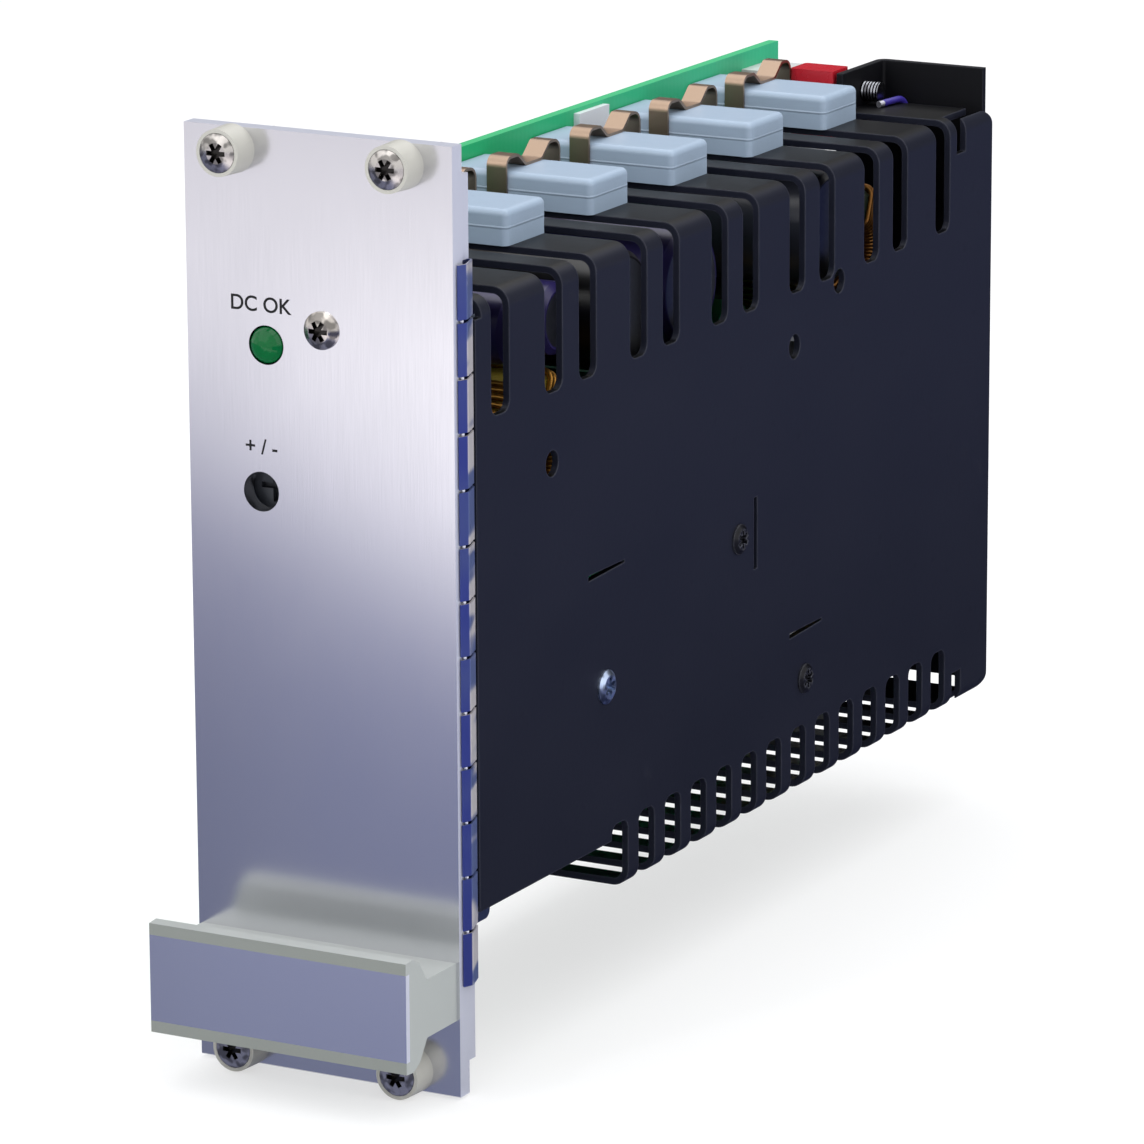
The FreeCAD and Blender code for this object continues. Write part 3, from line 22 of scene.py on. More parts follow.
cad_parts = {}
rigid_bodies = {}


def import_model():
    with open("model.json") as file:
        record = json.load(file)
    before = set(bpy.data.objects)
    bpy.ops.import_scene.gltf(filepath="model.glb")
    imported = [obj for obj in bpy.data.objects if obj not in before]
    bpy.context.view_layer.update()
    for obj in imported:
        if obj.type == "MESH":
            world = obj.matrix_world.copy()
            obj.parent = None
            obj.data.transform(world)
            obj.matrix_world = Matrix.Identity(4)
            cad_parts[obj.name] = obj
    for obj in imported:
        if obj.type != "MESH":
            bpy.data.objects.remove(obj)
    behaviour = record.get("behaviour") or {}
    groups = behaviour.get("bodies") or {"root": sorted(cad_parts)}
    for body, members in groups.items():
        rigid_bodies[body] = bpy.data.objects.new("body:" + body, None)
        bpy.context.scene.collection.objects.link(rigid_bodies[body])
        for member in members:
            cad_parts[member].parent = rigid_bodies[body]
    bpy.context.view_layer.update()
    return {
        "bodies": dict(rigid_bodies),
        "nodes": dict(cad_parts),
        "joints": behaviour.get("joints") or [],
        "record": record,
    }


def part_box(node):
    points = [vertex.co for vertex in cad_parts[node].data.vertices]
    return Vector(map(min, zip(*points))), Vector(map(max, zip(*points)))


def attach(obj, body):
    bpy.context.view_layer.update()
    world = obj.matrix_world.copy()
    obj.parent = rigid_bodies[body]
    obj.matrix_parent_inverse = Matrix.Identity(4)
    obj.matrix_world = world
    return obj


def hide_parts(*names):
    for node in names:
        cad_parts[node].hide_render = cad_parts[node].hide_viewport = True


LOG = logging.getLogger("power_supply")
MM = 0.001
CHASSIS = "chassis"
SHOWN_RAYS = ("Is Camera Ray", "Is Glossy Ray", "Is Transmission Ray")
Linear = tuple[float, float, float, float]
Colour = Linear | str
Place = tuple[float, float, float]
Material = bpy.types.Material
Mesh = bpy.types.Mesh
Socket = bpy.types.NodeSocket
EVEN: Place = (1.0, 1.0, 1.0)
BLACK: Linear = (0.0, 0.0, 0.0, 1.0)
WHITE: Linear = (1.0, 1.0, 1.0, 1.0)


def linear(colour: Colour) -> Linear:
    """Turn a colour into the linear values that shaders take.

    Args:
        colour: Six hexadecimal digits of a screen colour, or linear values already.

    Returns:
        Red, green, blue and alpha, all linear.
    """
    if not isinstance(colour, str):
        return colour
    shares = [int(colour[place:place + 2], 16) / 255 for place in (0, 2, 4)]
    parts = [c / 12.92 if c <= 0.04045 else ((c + 0.055) / 1.055) ** 2.4 for c in shares]
    return (parts[0], parts[1], parts[2], 1.0)


def darker(colour: Colour, share: float) -> Linear:
    """Return a colour at a share of its strength."""
    red, green, blue, _ = linear(colour)
    return (red * share, green * share, blue * share, 1.0)


class Axis(Enum):
    """A row axis by its place in a coordinate triple."""

    X = 0
    Y = 1
    Z = 2


def operator(operation: str, flipped: bool = False) -> Callable[["Wire", Any], "Wire"]:
    """Make the method behind one of Python's operators.

    Args:
        operation: Blender's name of the operation.
        flipped: Whether the other value comes first.

    Returns:
        The method, which adds a Math node and returns its result.
    """
    def method(wire: "Wire", other: Any) -> "Wire":
        """Add the node."""
        pair = (other, wire) if flipped else (wire, other)
        return wire.maths(operation, *pair)
    return method


class Wire:
    """A shader socket that takes part in Python expressions."""

    def __init__(self, tree: "FinishTree", socket: Socket) -> None:
        """Keep the socket and the tree that it belongs to."""
        self.tree = tree
        self.socket = socket

    def maths(self, operation: str, first: Any, second: Any = 0.0) -> "Wire":
        """Add one Math node.

        Args:
            operation: Blender's name of the operation.
            first: A wire or a number.
            second: A wire or a number.

        Returns:
            The node's result.
        """
        return self.tree.node("ShaderNodeMath", {"operation": operation}, {0: first, 1: second})

    __add__ = operator("ADD")
    __radd__ = operator("ADD", flipped=True)
    __sub__ = operator("SUBTRACT")
    __rsub__ = operator("SUBTRACT", flipped=True)
    __mul__ = operator("MULTIPLY")
    __rmul__ = operator("MULTIPLY", flipped=True)
    __truediv__ = operator("DIVIDE")
    __pow__ = operator("POWER")
    __gt__ = operator("GREATER_THAN")
    __lt__ = operator("LESS_THAN")

    def __abs__(self) -> "Wire":
        """Return the distance from zero."""
        return self.maths("ABSOLUTE", self)

    def fraction(self) -> "Wire":
        """Return what is left after the whole number."""
        return self.maths("FRACT", self)

    def clamp(self) -> "Wire":
        """Return the value held between 0 and 1."""
        return self.maths("MINIMUM", self.maths("MAXIMUM", self, 0.0), 1.0)

    def step(self, low: float, high: float) -> "Wire":
        """Rise smoothly from 0 to 1 between two values.

        Args:
            low: Where the rise starts.
            high: Where it ends.

        Returns:
            The mask.
        """
        settings = {"interpolation_type": "SMOOTHSTEP"}
        return self.tree.node("ShaderNodeMapRange", settings,
                              {"Value": self, "From Min": low, "From Max": high})


class FinishTree:
    """One material with its Principled shader and the nodes before it."""

    def __init__(self, name: str) -> None:
        """Start an empty material of that name."""
        self.material = bpy.data.materials.new(name)
        self.material.use_nodes = True
        self.nodes = self.material.node_tree.nodes
        self.links = self.material.node_tree.links
        self.nodes.clear()
        self.shader = self.nodes.new("ShaderNodeBsdfPrincipled")
        self.output = self.nodes.new("ShaderNodeOutputMaterial")
        self.links.new(self.shader.outputs["BSDF"], self.output.inputs["Surface"])

    def node(self, kind: str, settings: dict[str, Any], values: dict[Any, Any],
             result: Any = 0) -> Wire:
        """Add any node.

        Args:
            kind: Blender's name of the node type.
            settings: What is set on the node first; "stops" fills a colour ramp.
            values: A number, colour or wire for each input, by name or place.
            result: Name or place of the output that is wanted.

        Returns:
            That output.
        """
        made = self.nodes.new(kind)
        for key, value in settings.items():
            if key == "stops":
                self._fill_ramp(made.color_ramp, value)
            elif key == "blend":
                made.color_ramp.interpolation = value
            else:
                setattr(made, key, value)
        for key, value in values.items():
            self.plug(made.inputs[key], value)
        return Wire(self, made.outputs[result])

    @staticmethod
    def _fill_ramp(ramp: bpy.types.ColorRamp, stops: Sequence[tuple[float, Colour]]) -> None:
        """Give a colour ramp its stops."""
        while len(ramp.elements) < len(stops):
            ramp.elements.new(1.0)
        for element, (place, colour) in zip(ramp.elements, stops):
            element.position = place
            element.color = linear(colour)

    def plug(self, socket: Socket, value: Any) -> None:
        """Link a wire to a socket, or set its number or colour."""
        if isinstance(value, Wire):
            self.links.new(value.socket, socket)
        else:
            socket.default_value = linear(value) if isinstance(value, str) else value

    def place(self) -> Wire:
        """Return the point on the object, in metres."""
        return self.node("ShaderNodeTexCoord", {}, {}, "Object")

    def along(self, axis: Axis) -> Wire:
        """Return the coordinate along one axis, in metres."""
        return self.node("ShaderNodeSeparateXYZ", {}, {0: self.place()}, axis.value)

    def facing(self, axis: Axis) -> Wire:
        """Return how far the surface's normal points along one axis."""
        normal = self.node("ShaderNodeNewGeometry", {}, {}, "Normal")
        return self.node("ShaderNodeSeparateXYZ", {}, {0: normal}, axis.value)

    def noise(self, size_mm: float, stretch: Place = EVEN, detail: float = 3.0) -> Wire:
        """Return soft noise between 0 and 1.

        Args:
            size_mm: Size of one blot in millimetres.
            stretch: How much longer a blot is along each axis.
            detail: Finer layers that are added.

        Returns:
            The noise.
        """
        scale = [1.0 / (size_mm * MM * part) for part in stretch]
        where = self.node("ShaderNodeMapping", {}, {"Vector": self.place(), "Scale": scale})
        return self.node("ShaderNodeTexNoise", {},
                         {"Vector": where, "Scale": 1.0, "Detail": detail})

    def mix(self, share: Any, first: Any, second: Any) -> Wire:
        """Return the first colour, turned to the second by a share."""
        return self.node("ShaderNodeMix", {"data_type": "RGBA"},
                         {0: share, 6: first, 7: second}, 2)

    def rounded(self, radius_mm: float) -> Wire:
        """Return the normal of the surface with its sharp edges rounded.

        Args:
            radius_mm: Radius of the rounded edges in millimetres.

        Returns:
            The softened normal.
        """
        return self.node("ShaderNodeBevel", {"samples": 4}, {"Radius": radius_mm * MM})

    def edges(self, radius_mm: float) -> Wire:
        """Return a mask that is 1 on sharp edges and 0 away from them.

        Args:
            radius_mm: How far the mask reaches from an edge in millimetres.

        Returns:
            The mask.
        """
        flat = self.node("ShaderNodeNewGeometry", {}, {}, "True Normal")
        along = self.node("ShaderNodeVectorMath", {"operation": "DOT_PRODUCT"},
                          {0: self.rounded(radius_mm), 1: flat}, "Value")
        return (1.0 - along).step(0.02, 0.3)

    def bump(self, height: Wire, depth_mm: float, strength: float = 1.0,
             before: Wire | None = None) -> Wire:
        """Return a normal that follows a height.

        Args:
            height: Height between 0 and 1.
            depth_mm: Real depth of the relief in millimetres.
            strength: Share of the relief that shows.
            before: A normal from an earlier bump.

        Returns:
            The bent normal.
        """
        values: dict[Any, Any] = {"Height": height, "Distance": depth_mm * MM,
                                  "Strength": strength}
        if before is not None:
            values["Normal"] = before
        return self.node("ShaderNodeBump", {}, values)

    def surface(self, **values: Any) -> Material:
        """Set the shader's sockets and return the material.

        Args:
            **values: Socket names with underscores for spaces, and their values.

        Returns:
            The finished material.
        """
        for name, value in values.items():
            self.plug(self.shader.inputs[name.replace("_", " ")], value)
        return self.material


@dataclass(frozen=True)
class Finish(ABC):
    """A procedural material with a name and a main colour."""

    name: str
    colour: Colour

    @abstractmethod
    def make(self) -> Material:
        """Build the material."""


@dataclass(frozen=True)
class BrushedMetal(Finish):
    """Bare or anodised metal with a fine grain along one axis."""

    roughness: float = 0.34
    grain: Place = (60.0, 1.0, 1.0)
    relief_mm: float = 0.004
    matt_sides: float = 0.0
    matt_before: float = 1.0
    matt_beyond: tuple[float, float] = (0.0, 1.0)
    # Darker bluish tint of the cut sides: painted shade.
    side_painted_shade: Colour = (0.45, 0.47, 0.60, 1.0)

    def make(self) -> Material:
        """Build the material."""
        tree = FinishTree(self.name)
        lines = tree.noise(0.12, self.grain, 4.0)
        cloud = tree.noise(16.0, (1.0, 1.0, 1.4), 2.0)
        shade = tree.mix(lines * 0.35 + cloud * 0.25, self.colour, darker(self.colour, 0.84))
        rough = self.roughness - 0.05 + lines * 0.06 + cloud * 0.05
        metal: Wire | float = 1.0
        if self.matt_sides > 0.0:
            side = (1.0 - abs(tree.facing(Axis.Y)).step(0.4, 0.9)) * self.matt_sides
            rim = (abs(tree.along(Axis.X)) > self.matt_beyond[0]) * (
                tree.along(Axis.Y) < self.matt_before)
            side = side * (rim + (abs(tree.along(Axis.Z)) > self.matt_beyond[1])).clamp()
            # Cut sides turn matt, and a darker bluish tint is painted shade on them.
            shade = tree.mix(side * 0.8, shade, self.side_painted_shade)
            rough = rough + side * 0.2
            metal = 1.0 - side
        return tree.surface(Base_Color=shade, Metallic=metal, Roughness=rough,
                            Normal=tree.bump(lines, self.relief_mm, 0.5))


@dataclass(frozen=True)
class SpringMetal(Finish):
    """Tempered blued spring metal; faces turned away from the front get silver patches: painted
    reflection.
    """

    # Silver and dull patches on faces turned away: painted reflection; dull also varies the front.
    silver: Colour
    dull: Colour

    def make(self) -> Material:
        """Build the material."""
        tree = FinishTree(self.name)
        front = 1.0 - tree.facing(Axis.Y).step(-0.35, -0.1)
        patch = tree.noise(7.0, (4.0, 4.0, 1.0), 2.0).step(0.46, 0.54)
        cloud = tree.noise(15.0, (4.0, 4.0, 1.0), 2.0).step(0.4, 0.65)
        # Faces turned away from the front get silver and dull patches: painted reflection.
        rear = tree.mix(patch, self.silver, self.dull)
        shade = tree.mix(front, rear, tree.mix(cloud * 0.6, self.colour, self.dull))
        lines = tree.noise(0.1, (1.0, 1.0, 12.0), 2.0)
        return tree.surface(Base_Color=shade, Metallic=0.35 + front * 0.3,
                            Roughness=0.26 + lines * 0.1,
                            Normal=tree.bump(lines, 0.002, 0.5))


@dataclass(frozen=True)
class SatinPaint(Finish):
    """Powder or stoved paint on sheet metal, with a fine orange peel and sharp edges lightened by
    wear and a painted highlight.
    """

    worn: Colour
    # Colour of the sharp edges: rubbed paint plus a painted highlight.
    edge: Colour
    roughness: float = 0.36
    # Share of painted shade on faces that point up or down.
    level: float = 0.0

    def make(self) -> Material:
        """Build the material."""
        tree = FinishTree(self.name)
        peel = tree.noise(0.7, detail=2.0)
        cloud = tree.noise(22.0, (1.0, 1.6, 1.0), 3.0)
        dust = tree.noise(3.5, detail=5.0).step(0.62, 0.8)
        # Sharp edges are lightened: partly rubbed paint, partly a painted highlight.
        painted_light_mask = tree.edges(0.35) * (0.55 + tree.noise(2.5, detail=3.0) * 0.6)
        shade = tree.mix(cloud * 0.4 + dust * 0.15, self.colour, self.worn)
        # Faces that point up or down are darkened: painted shade.
        painted_shade_on_flats = abs(tree.facing(Axis.Z)).step(0.75, 0.99) * self.level
        shade = tree.mix(painted_shade_on_flats, shade, darker(self.colour, 0.05))
        shade = tree.mix(painted_light_mask.clamp() * 0.8, shade, self.edge)
        rough = self.roughness + cloud * 0.1 + dust * 0.08 - painted_light_mask * 0.06
        return tree.surface(Base_Color=shade, Roughness=rough, Specular_IOR_Level=0.2,
                            Normal=tree.bump(peel, 0.02, 0.35, tree.rounded(0.3)))


@dataclass(frozen=True)
class Moulding(Finish):
    """Moulded plastic with a faint texture."""

    roughness: float = 0.45
    grain_mm: float = 0.35
    relief_mm: float = 0.012

    def shade(self, tree: FinishTree, cloud: Wire) -> Wire:
        """Return the colour for a cloud of noise."""
        return tree.mix(cloud * 0.5, self.colour, darker(self.colour, 0.82))

    def make(self) -> Material:
        """Build the material."""
        tree = FinishTree(self.name)
        grain = tree.noise(self.grain_mm, detail=2.0)
        cloud = tree.noise(9.0, detail=2.0)
        return tree.surface(Base_Color=self.shade(tree, cloud),
                            Roughness=self.roughness - 0.04 + cloud * 0.1,
                            Normal=tree.bump(grain, self.relief_mm, 0.6))


@dataclass(frozen=True)
class HandleCoat(Moulding):
    """Grey coat whose faces in front are darker: painted shade."""

    # Colour of the faces in front: painted shade.
    front: Colour = (0.2, 0.2, 0.2, 1.0)

    def shade(self, tree: FinishTree, cloud: Wire) -> Wire:
        """Return the colour, with painted shade on the faces that point to the front."""
        painted_light_mask = 1.0 - tree.facing(Axis.Y).step(-0.9, -0.5)
        return tree.mix(painted_light_mask, self.colour, self.front)


@dataclass(frozen=True)
class BrightMetal(Finish):
    """Plated or polished screw metal, with a thread on the shank, painted reflections in blots and
    painted shade in the drive recess.
    """

    axis: Axis
    thread_from: float
    thread_to: float
    pitch_mm: float = 0.45
    roughness: float = 0.16
    # Span along the axis of the drive recess, which is darkened as painted shade.
    recess: tuple[float, float] = (0.0, 0.0)
    recess_centre: tuple[float, float] = (0.0, 0.0)
    recess_radius: float = 1.0

    def make(self) -> Material:
        """Build the material."""
        tree = FinishTree(self.name)
        along = tree.along(self.axis)
        aside = tree.along(Axis.X) - self.recess_centre[0]
        above = tree.along(Axis.Z) - self.recess_centre[1]
        near = (aside * aside + above * above) ** 0.5 < self.recess_radius
        # The drive recess is darkened: painted shade.
        recess_painted_shade = (along > self.recess[0]) * (along < self.recess[1]) * near
        zone = (along > self.thread_from) * (along < self.thread_to)
        thread = abs((along / (self.pitch_mm * MM)).fraction() - 0.5) * 2.0
        # Blots darkened as painted reflections; the same noise varies the roughness.
        painted_reflection_blots = tree.noise(1.3, detail=1.0)
        shade = tree.mix(painted_reflection_blots.step(0.42, 0.62) * 0.8, self.colour, darker(self.colour, 0.2))
        shade = tree.mix(recess_painted_shade, shade, darker(self.colour, 0.06))
        return tree.surface(Base_Color=shade, Metallic=1.0,
                            Roughness=self.roughness + painted_reflection_blots * 0.12,
                            Normal=tree.bump(thread * zone, 0.22, 1.0))


@dataclass(frozen=True)
class Silicone(Finish):
    """Soft grey cap: satin skin and the mould's parting line."""

    seam_z: float

    def make(self) -> Material:
        """Build the material."""
        tree = FinishTree(self.name)
        height = tree.along(Axis.Z)
        seam = 1.0 - (abs(height - self.seam_z) / (0.22 * MM)).clamp()
        skin = tree.noise(0.5, detail=2.0)
        cloud = tree.noise(4.0, detail=2.0)
        shade = tree.mix(cloud * 0.35 + seam * 0.3, self.colour, darker(self.colour, 0.7))
        normal = tree.bump(seam, 0.12, 0.7, tree.bump(skin, 0.02, 0.5))
        return tree.surface(Base_Color=shade, Roughness=0.36 + cloud * 0.12, Normal=normal,
                            Specular_IOR_Level=0.55)


@dataclass(frozen=True)
class BoardLaminate(Finish):
    """Green board: pale cut edges, weave, and conductor tracks under the lacquer."""

    rear: Colour
    track: Colour
    edge: Colour
    tracks_below: float = 47.0 * MM

    def make(self) -> Material:
        """Build the material."""
        tree = FinishTree(self.name)
        cut = 1.0 - abs(tree.facing(Axis.X)).step(0.5, 0.9)
        where = tree.node("ShaderNodeMapping", {}, {"Vector": tree.place(),
                                                     "Rotation": (0.0, math.pi / 2, 0.0)})
        tracks = tree.node("ShaderNodeTexBrick",
                           {"offset": 0.37, "offset_frequency": 3, "squash": 0.6,
                            "squash_frequency": 2},
                           {"Vector": where, "Scale": 60.0, "Mortar Size": 0.018,
                            "Mortar Smooth": 0.1, "Brick Width": 1.3, "Row Height": 0.45}, "Fac")
        patch = tree.noise(14.0, detail=1.0).step(0.45, 0.5)
        weave = tree.node("ShaderNodeTexWave", {"bands_direction": "Y"},
                          {"Vector": tree.place(), "Scale": 260.0, "Distortion": 1.5})
        copper = tracks * patch * (1.0 - cut) * (tree.along(Axis.Z) < self.tracks_below)
        toward_rear = tree.along(Axis.Y).step(0.02, 0.15)
        lacquer = tree.mix(toward_rear, self.colour, self.rear)
        lacquer = tree.mix(copper * 0.5, lacquer, self.track)
        shade = tree.mix(cut * 0.75, lacquer, self.edge)
        rough = 0.3 + cut * 0.3 + weave * 0.04
        return tree.surface(Base_Color=shade, Roughness=rough, Specular_IOR_Level=0.25,
                            Normal=tree.bump(weave * 0.3 + copper, 0.03, 0.6))


@dataclass(frozen=True)
class CanSleeve(Finish):
    """Round capacitors: coloured sleeves by place, bare ends with a scored vent.

    The main colour is the bare end's. Lengths are millimetres. A centre is Y and Z, a sleeve
    its front edge and its colour.
    """

    radius: float
    centres: tuple[tuple[float, float], ...]
    sleeves: tuple[tuple[float, str], ...]

    def make(self) -> Material:
        """Build the material."""
        tree = FinishTree(self.name)
        first_y = self.sleeves[0][0] * MM
        span = self.sleeves[-1][0] * MM + 0.02 - first_y
        share = (tree.along(Axis.Y) - first_y) / span
        stops = [((y * MM - first_y) / span, linear(code)) for y, code in self.sleeves]
        sleeve = tree.node("ShaderNodeValToRGB", {"blend": "CONSTANT", "stops": stops}, {0: share})
        bare = tree.facing(Axis.X) > 0.9
        inside: Wire | float = 0.0
        vent: Wire | float = 0.0
        for y, z in self.centres:
            across, up = tree.along(Axis.Y) - y * MM, tree.along(Axis.Z) - z * MM
            away = (across * across + up * up) ** 0.5
            disc = away < (self.radius - 1.1) * MM
            lines = (abs(across) < 0.2 * MM) + (abs(up) < 0.2 * MM)
            inside = inside + disc
            vent = vent + lines.clamp() * disc * (away < self.radius * 0.62 * MM)
        bare = bare * inside
        scratch = tree.noise(0.6, detail=4.0)
        shade = tree.mix(bare, sleeve, tree.mix(scratch * 0.5, self.colour, "50545C"))
        return tree.surface(Base_Color=shade, Metallic=bare, Roughness=0.3 + scratch * 0.1,
                            Normal=tree.bump(vent * bare, -0.3, 1.0))


@dataclass(frozen=True)
class Lacquered(Finish):
    """Lacquered wire, tape or another glossy skin over a coloured body."""

    metal: float = 0.0
    roughness: float = 0.3
    band_mm: float = 0.0
    axis: Axis = Axis.X

    def make(self) -> Material:
        """Build the material."""
        tree = FinishTree(self.name)
        cloud = tree.noise(2.0, detail=3.0)
        shade = tree.mix(cloud * 0.6, self.colour, darker(self.colour, 0.6))
        height = cloud * 0.3
        if self.band_mm > 0:
            height = height + (tree.along(self.axis) / (self.band_mm * MM)).fraction()
        return tree.surface(Base_Color=shade, Metallic=self.metal,
                            Roughness=self.roughness + cloud * 0.12,
                            Normal=tree.bump(height, 0.08, 0.8))


@dataclass(frozen=True)
class ClearPart(Finish):
    """Glass or clear plastic."""

    clearness: float
    roughness: float = 0.08

    def make(self) -> Material:
        """Build the material."""
        tree = FinishTree(self.name)
        cloud = tree.noise(1.5, detail=2.0)
        shade = tree.mix(cloud * 0.3, self.colour, darker(self.colour, 0.7))
        return tree.surface(Base_Color=shade, Transmission_Weight=self.clearness, IOR=1.5,
                            Specular_IOR_Level=0.25, Roughness=self.roughness + cloud * 0.04)


@dataclass(frozen=True)
class FuseBody(Finish):
    """Glass tube between two nickel caps."""

    caps: Colour
    middle_y: float
    glass_half: float

    def make(self) -> Material:
        """Build the material."""
        tree = FinishTree(self.name)
        cap = abs(tree.along(Axis.Y) - self.middle_y) > self.glass_half
        haze = tree.noise(1.0, detail=2.0)
        shade = tree.mix(cap, self.colour, self.caps)
        return tree.surface(Base_Color=shade, Metallic=cap, Roughness=0.14 + haze * 0.1,
                            Coat_Weight=0.4)


@dataclass(frozen=True)
class WireCover(Finish):
    """Coloured wire cover whose last stretch is bare tinned strands."""

    bare_before_y: float

    def make(self) -> Material:
        """Build the material."""
        tree = FinishTree(self.name)
        bare = tree.along(Axis.Y) < self.bare_before_y
        strand = ((tree.along(Axis.X) + tree.along(Axis.Y)) / (0.35 * MM)).fraction()
        shade = tree.mix(bare, self.colour, "A6A7B0")
        return tree.surface(Base_Color=shade, Metallic=bare * 0.7, Roughness=0.38 - bare * 0.1,
                            Normal=tree.bump(strand * bare, 0.1, 0.8))


@dataclass
class Section:
    """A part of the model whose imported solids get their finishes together."""

    frame: dict[str, Any]

    def dress(self, finish: Finish, *nodes: str) -> None:
        """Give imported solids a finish.

        Args:
            finish: What they look like.
            *nodes: Names of the solids.
        """
        material = finish.make()
        for name in nodes:
            solid = self.frame["nodes"][name]
            if not solid.material_slots:
                solid.data.materials.append(material)
            for slot in solid.material_slots:
                slot.material = material
            LOG.info("%s: %s", name, material.name)


def add_piece(name: str, mesh: Mesh, material: Material,
              body: str = CHASSIS) -> bpy.types.Object:
    """Put a new mesh in the scene on a body.

    Args:
        name: Name of the piece.
        mesh: Its mesh, in row coordinates.
        material: Its material.
        body: The body that it rides on.

    Returns:
        The new object.
    """
    mesh.materials.clear()
    mesh.materials.append(material)
    piece = bpy.data.objects.new(name, mesh)
    bpy.context.scene.collection.objects.link(piece)
    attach(piece, body)
    LOG.info("%s: %d faces", name, len(mesh.polygons))
    return piece


def plain_mesh(holder: bpy.types.Object) -> Mesh:
    """Return the final mesh of a loose object, and remove the object.

    Args:
        holder: An object that isn't in the scene yet.

    Returns:
        Its mesh with text and modifiers worked out.
    """
    bpy.context.scene.collection.objects.link(holder)
    graph = bpy.context.evaluated_depsgraph_get()
    mesh = bpy.data.meshes.new_from_object(holder.evaluated_get(graph))
    bpy.data.objects.remove(holder)
    return mesh


class GrowTree:
    """A Geometry Nodes tree that is built, run once and thrown away."""

    def __init__(self, name: str) -> None:
        """Start an empty tree of that name."""
        self.tree = bpy.data.node_groups.new(name, "GeometryNodeTree")
        for way in ("INPUT", "OUTPUT"):
            self.tree.interface.new_socket("Geometry", in_out=way,
                                           socket_type="NodeSocketGeometry")
        self.entry = self.tree.nodes.new("NodeGroupInput")
        self.exit = self.tree.nodes.new("NodeGroupOutput")

    def named(self, name: str, kind: str, value: Any) -> Socket:
        """Add a named input and return its socket inside the tree.

        Args:
            name: Name of the input.
            kind: Float, Int or Vector.
            value: Its default.

        Returns:
            The socket on the group's entry.
        """
        item = self.tree.interface.new_socket(name, in_out="INPUT",
                                              socket_type=f"NodeSocket{kind}")
        item.default_value = value
        return self.entry.outputs[name]

    def node(self, kind: str, values: dict[Any, Any], settings: dict[str, Any] | None = None,
             result: int = 0) -> Socket:
        """Add a node, set it up and connect its inputs.

        Args:
            kind: Blender's name of the node type.
            values: A value or an output socket for each input.
            settings: What is set on the node first.
            result: Place of the output that is wanted.

        Returns:
            That output.
        """
        made = self.tree.nodes.new(kind)
        for key, value in (settings or {}).items():
            setattr(made, key, value)
        for key, value in values.items():
            if isinstance(value, Socket):
                self.tree.links.new(value, made.inputs[key])
            else:
                made.inputs[key].default_value = value
        return made.outputs[result]

    def on_seeds(self, shape: Socket, turn: Place = (0.0, 0.0, 0.0)) -> Socket:
        """Put a copy of a shape on every point of the starting mesh.

        Args:
            shape: The geometry that is copied.
            turn: How each copy is turned.

        Returns:
            The copies.
        """
        seeds = self.node("GeometryNodeMeshToPoints", {"Mesh": self.entry.outputs[0]})
        return self.node("GeometryNodeInstanceOnPoints",
                         {"Points": seeds, "Instance": shape, "Rotation": turn})

    def end(self, last: Socket, material: Material) -> None:
        """Finish with real geometry in one material.

        Args:
            last: The geometry so far.
            material: The material for all of it.
        """
        real = self.node("GeometryNodeRealizeInstances", {0: last})
        dressed = self.node("GeometryNodeSetMaterial", {"Geometry": real, "Material": material})
        self.tree.links.new(dressed, self.exit.inputs[0])

    def run(self, seed_points: Sequence[Place], sizes: dict[str, Any]) -> Mesh:
        """Grow the tree on some points and return a plain mesh.

        Args:
            seed_points: Points of the starting mesh.
            sizes: A value for each named input.

        Returns:
            The grown mesh.
        """
        start = bpy.data.meshes.new("seed")
        start.from_pydata([tuple(point) for point in seed_points], [], [])
        holder = bpy.data.objects.new("seed", start)
        modifier = holder.modifiers.new("grow", "NODES")
        modifier.node_group = self.tree
        for item in self.tree.interface.items_tree:
            if item.in_out == "INPUT" and item.name in sizes:
                modifier[item.identifier] = sizes[item.name]
        return plain_mesh(holder)


# Name, place, target, side in metres and watts of each lamp.
LAMPS = (("key lamp", (-0.35, -0.55, 0.75), (0.0, 0.07, 0.0), 1.1, 2.9),
         ("fill lamp", (0.75, -0.25, 0.45), (0.0, 0.07, 0.0), 0.9, 2.3),
         ("top lamp", (0.05, 0.35, 0.85), (0.0, 0.08, 0.05), 1.1, 5.6),
         ("spark lamp", (-0.25, -0.8, 0.6), (0.0, 0.0, 0.02), 0.05, 0.8))


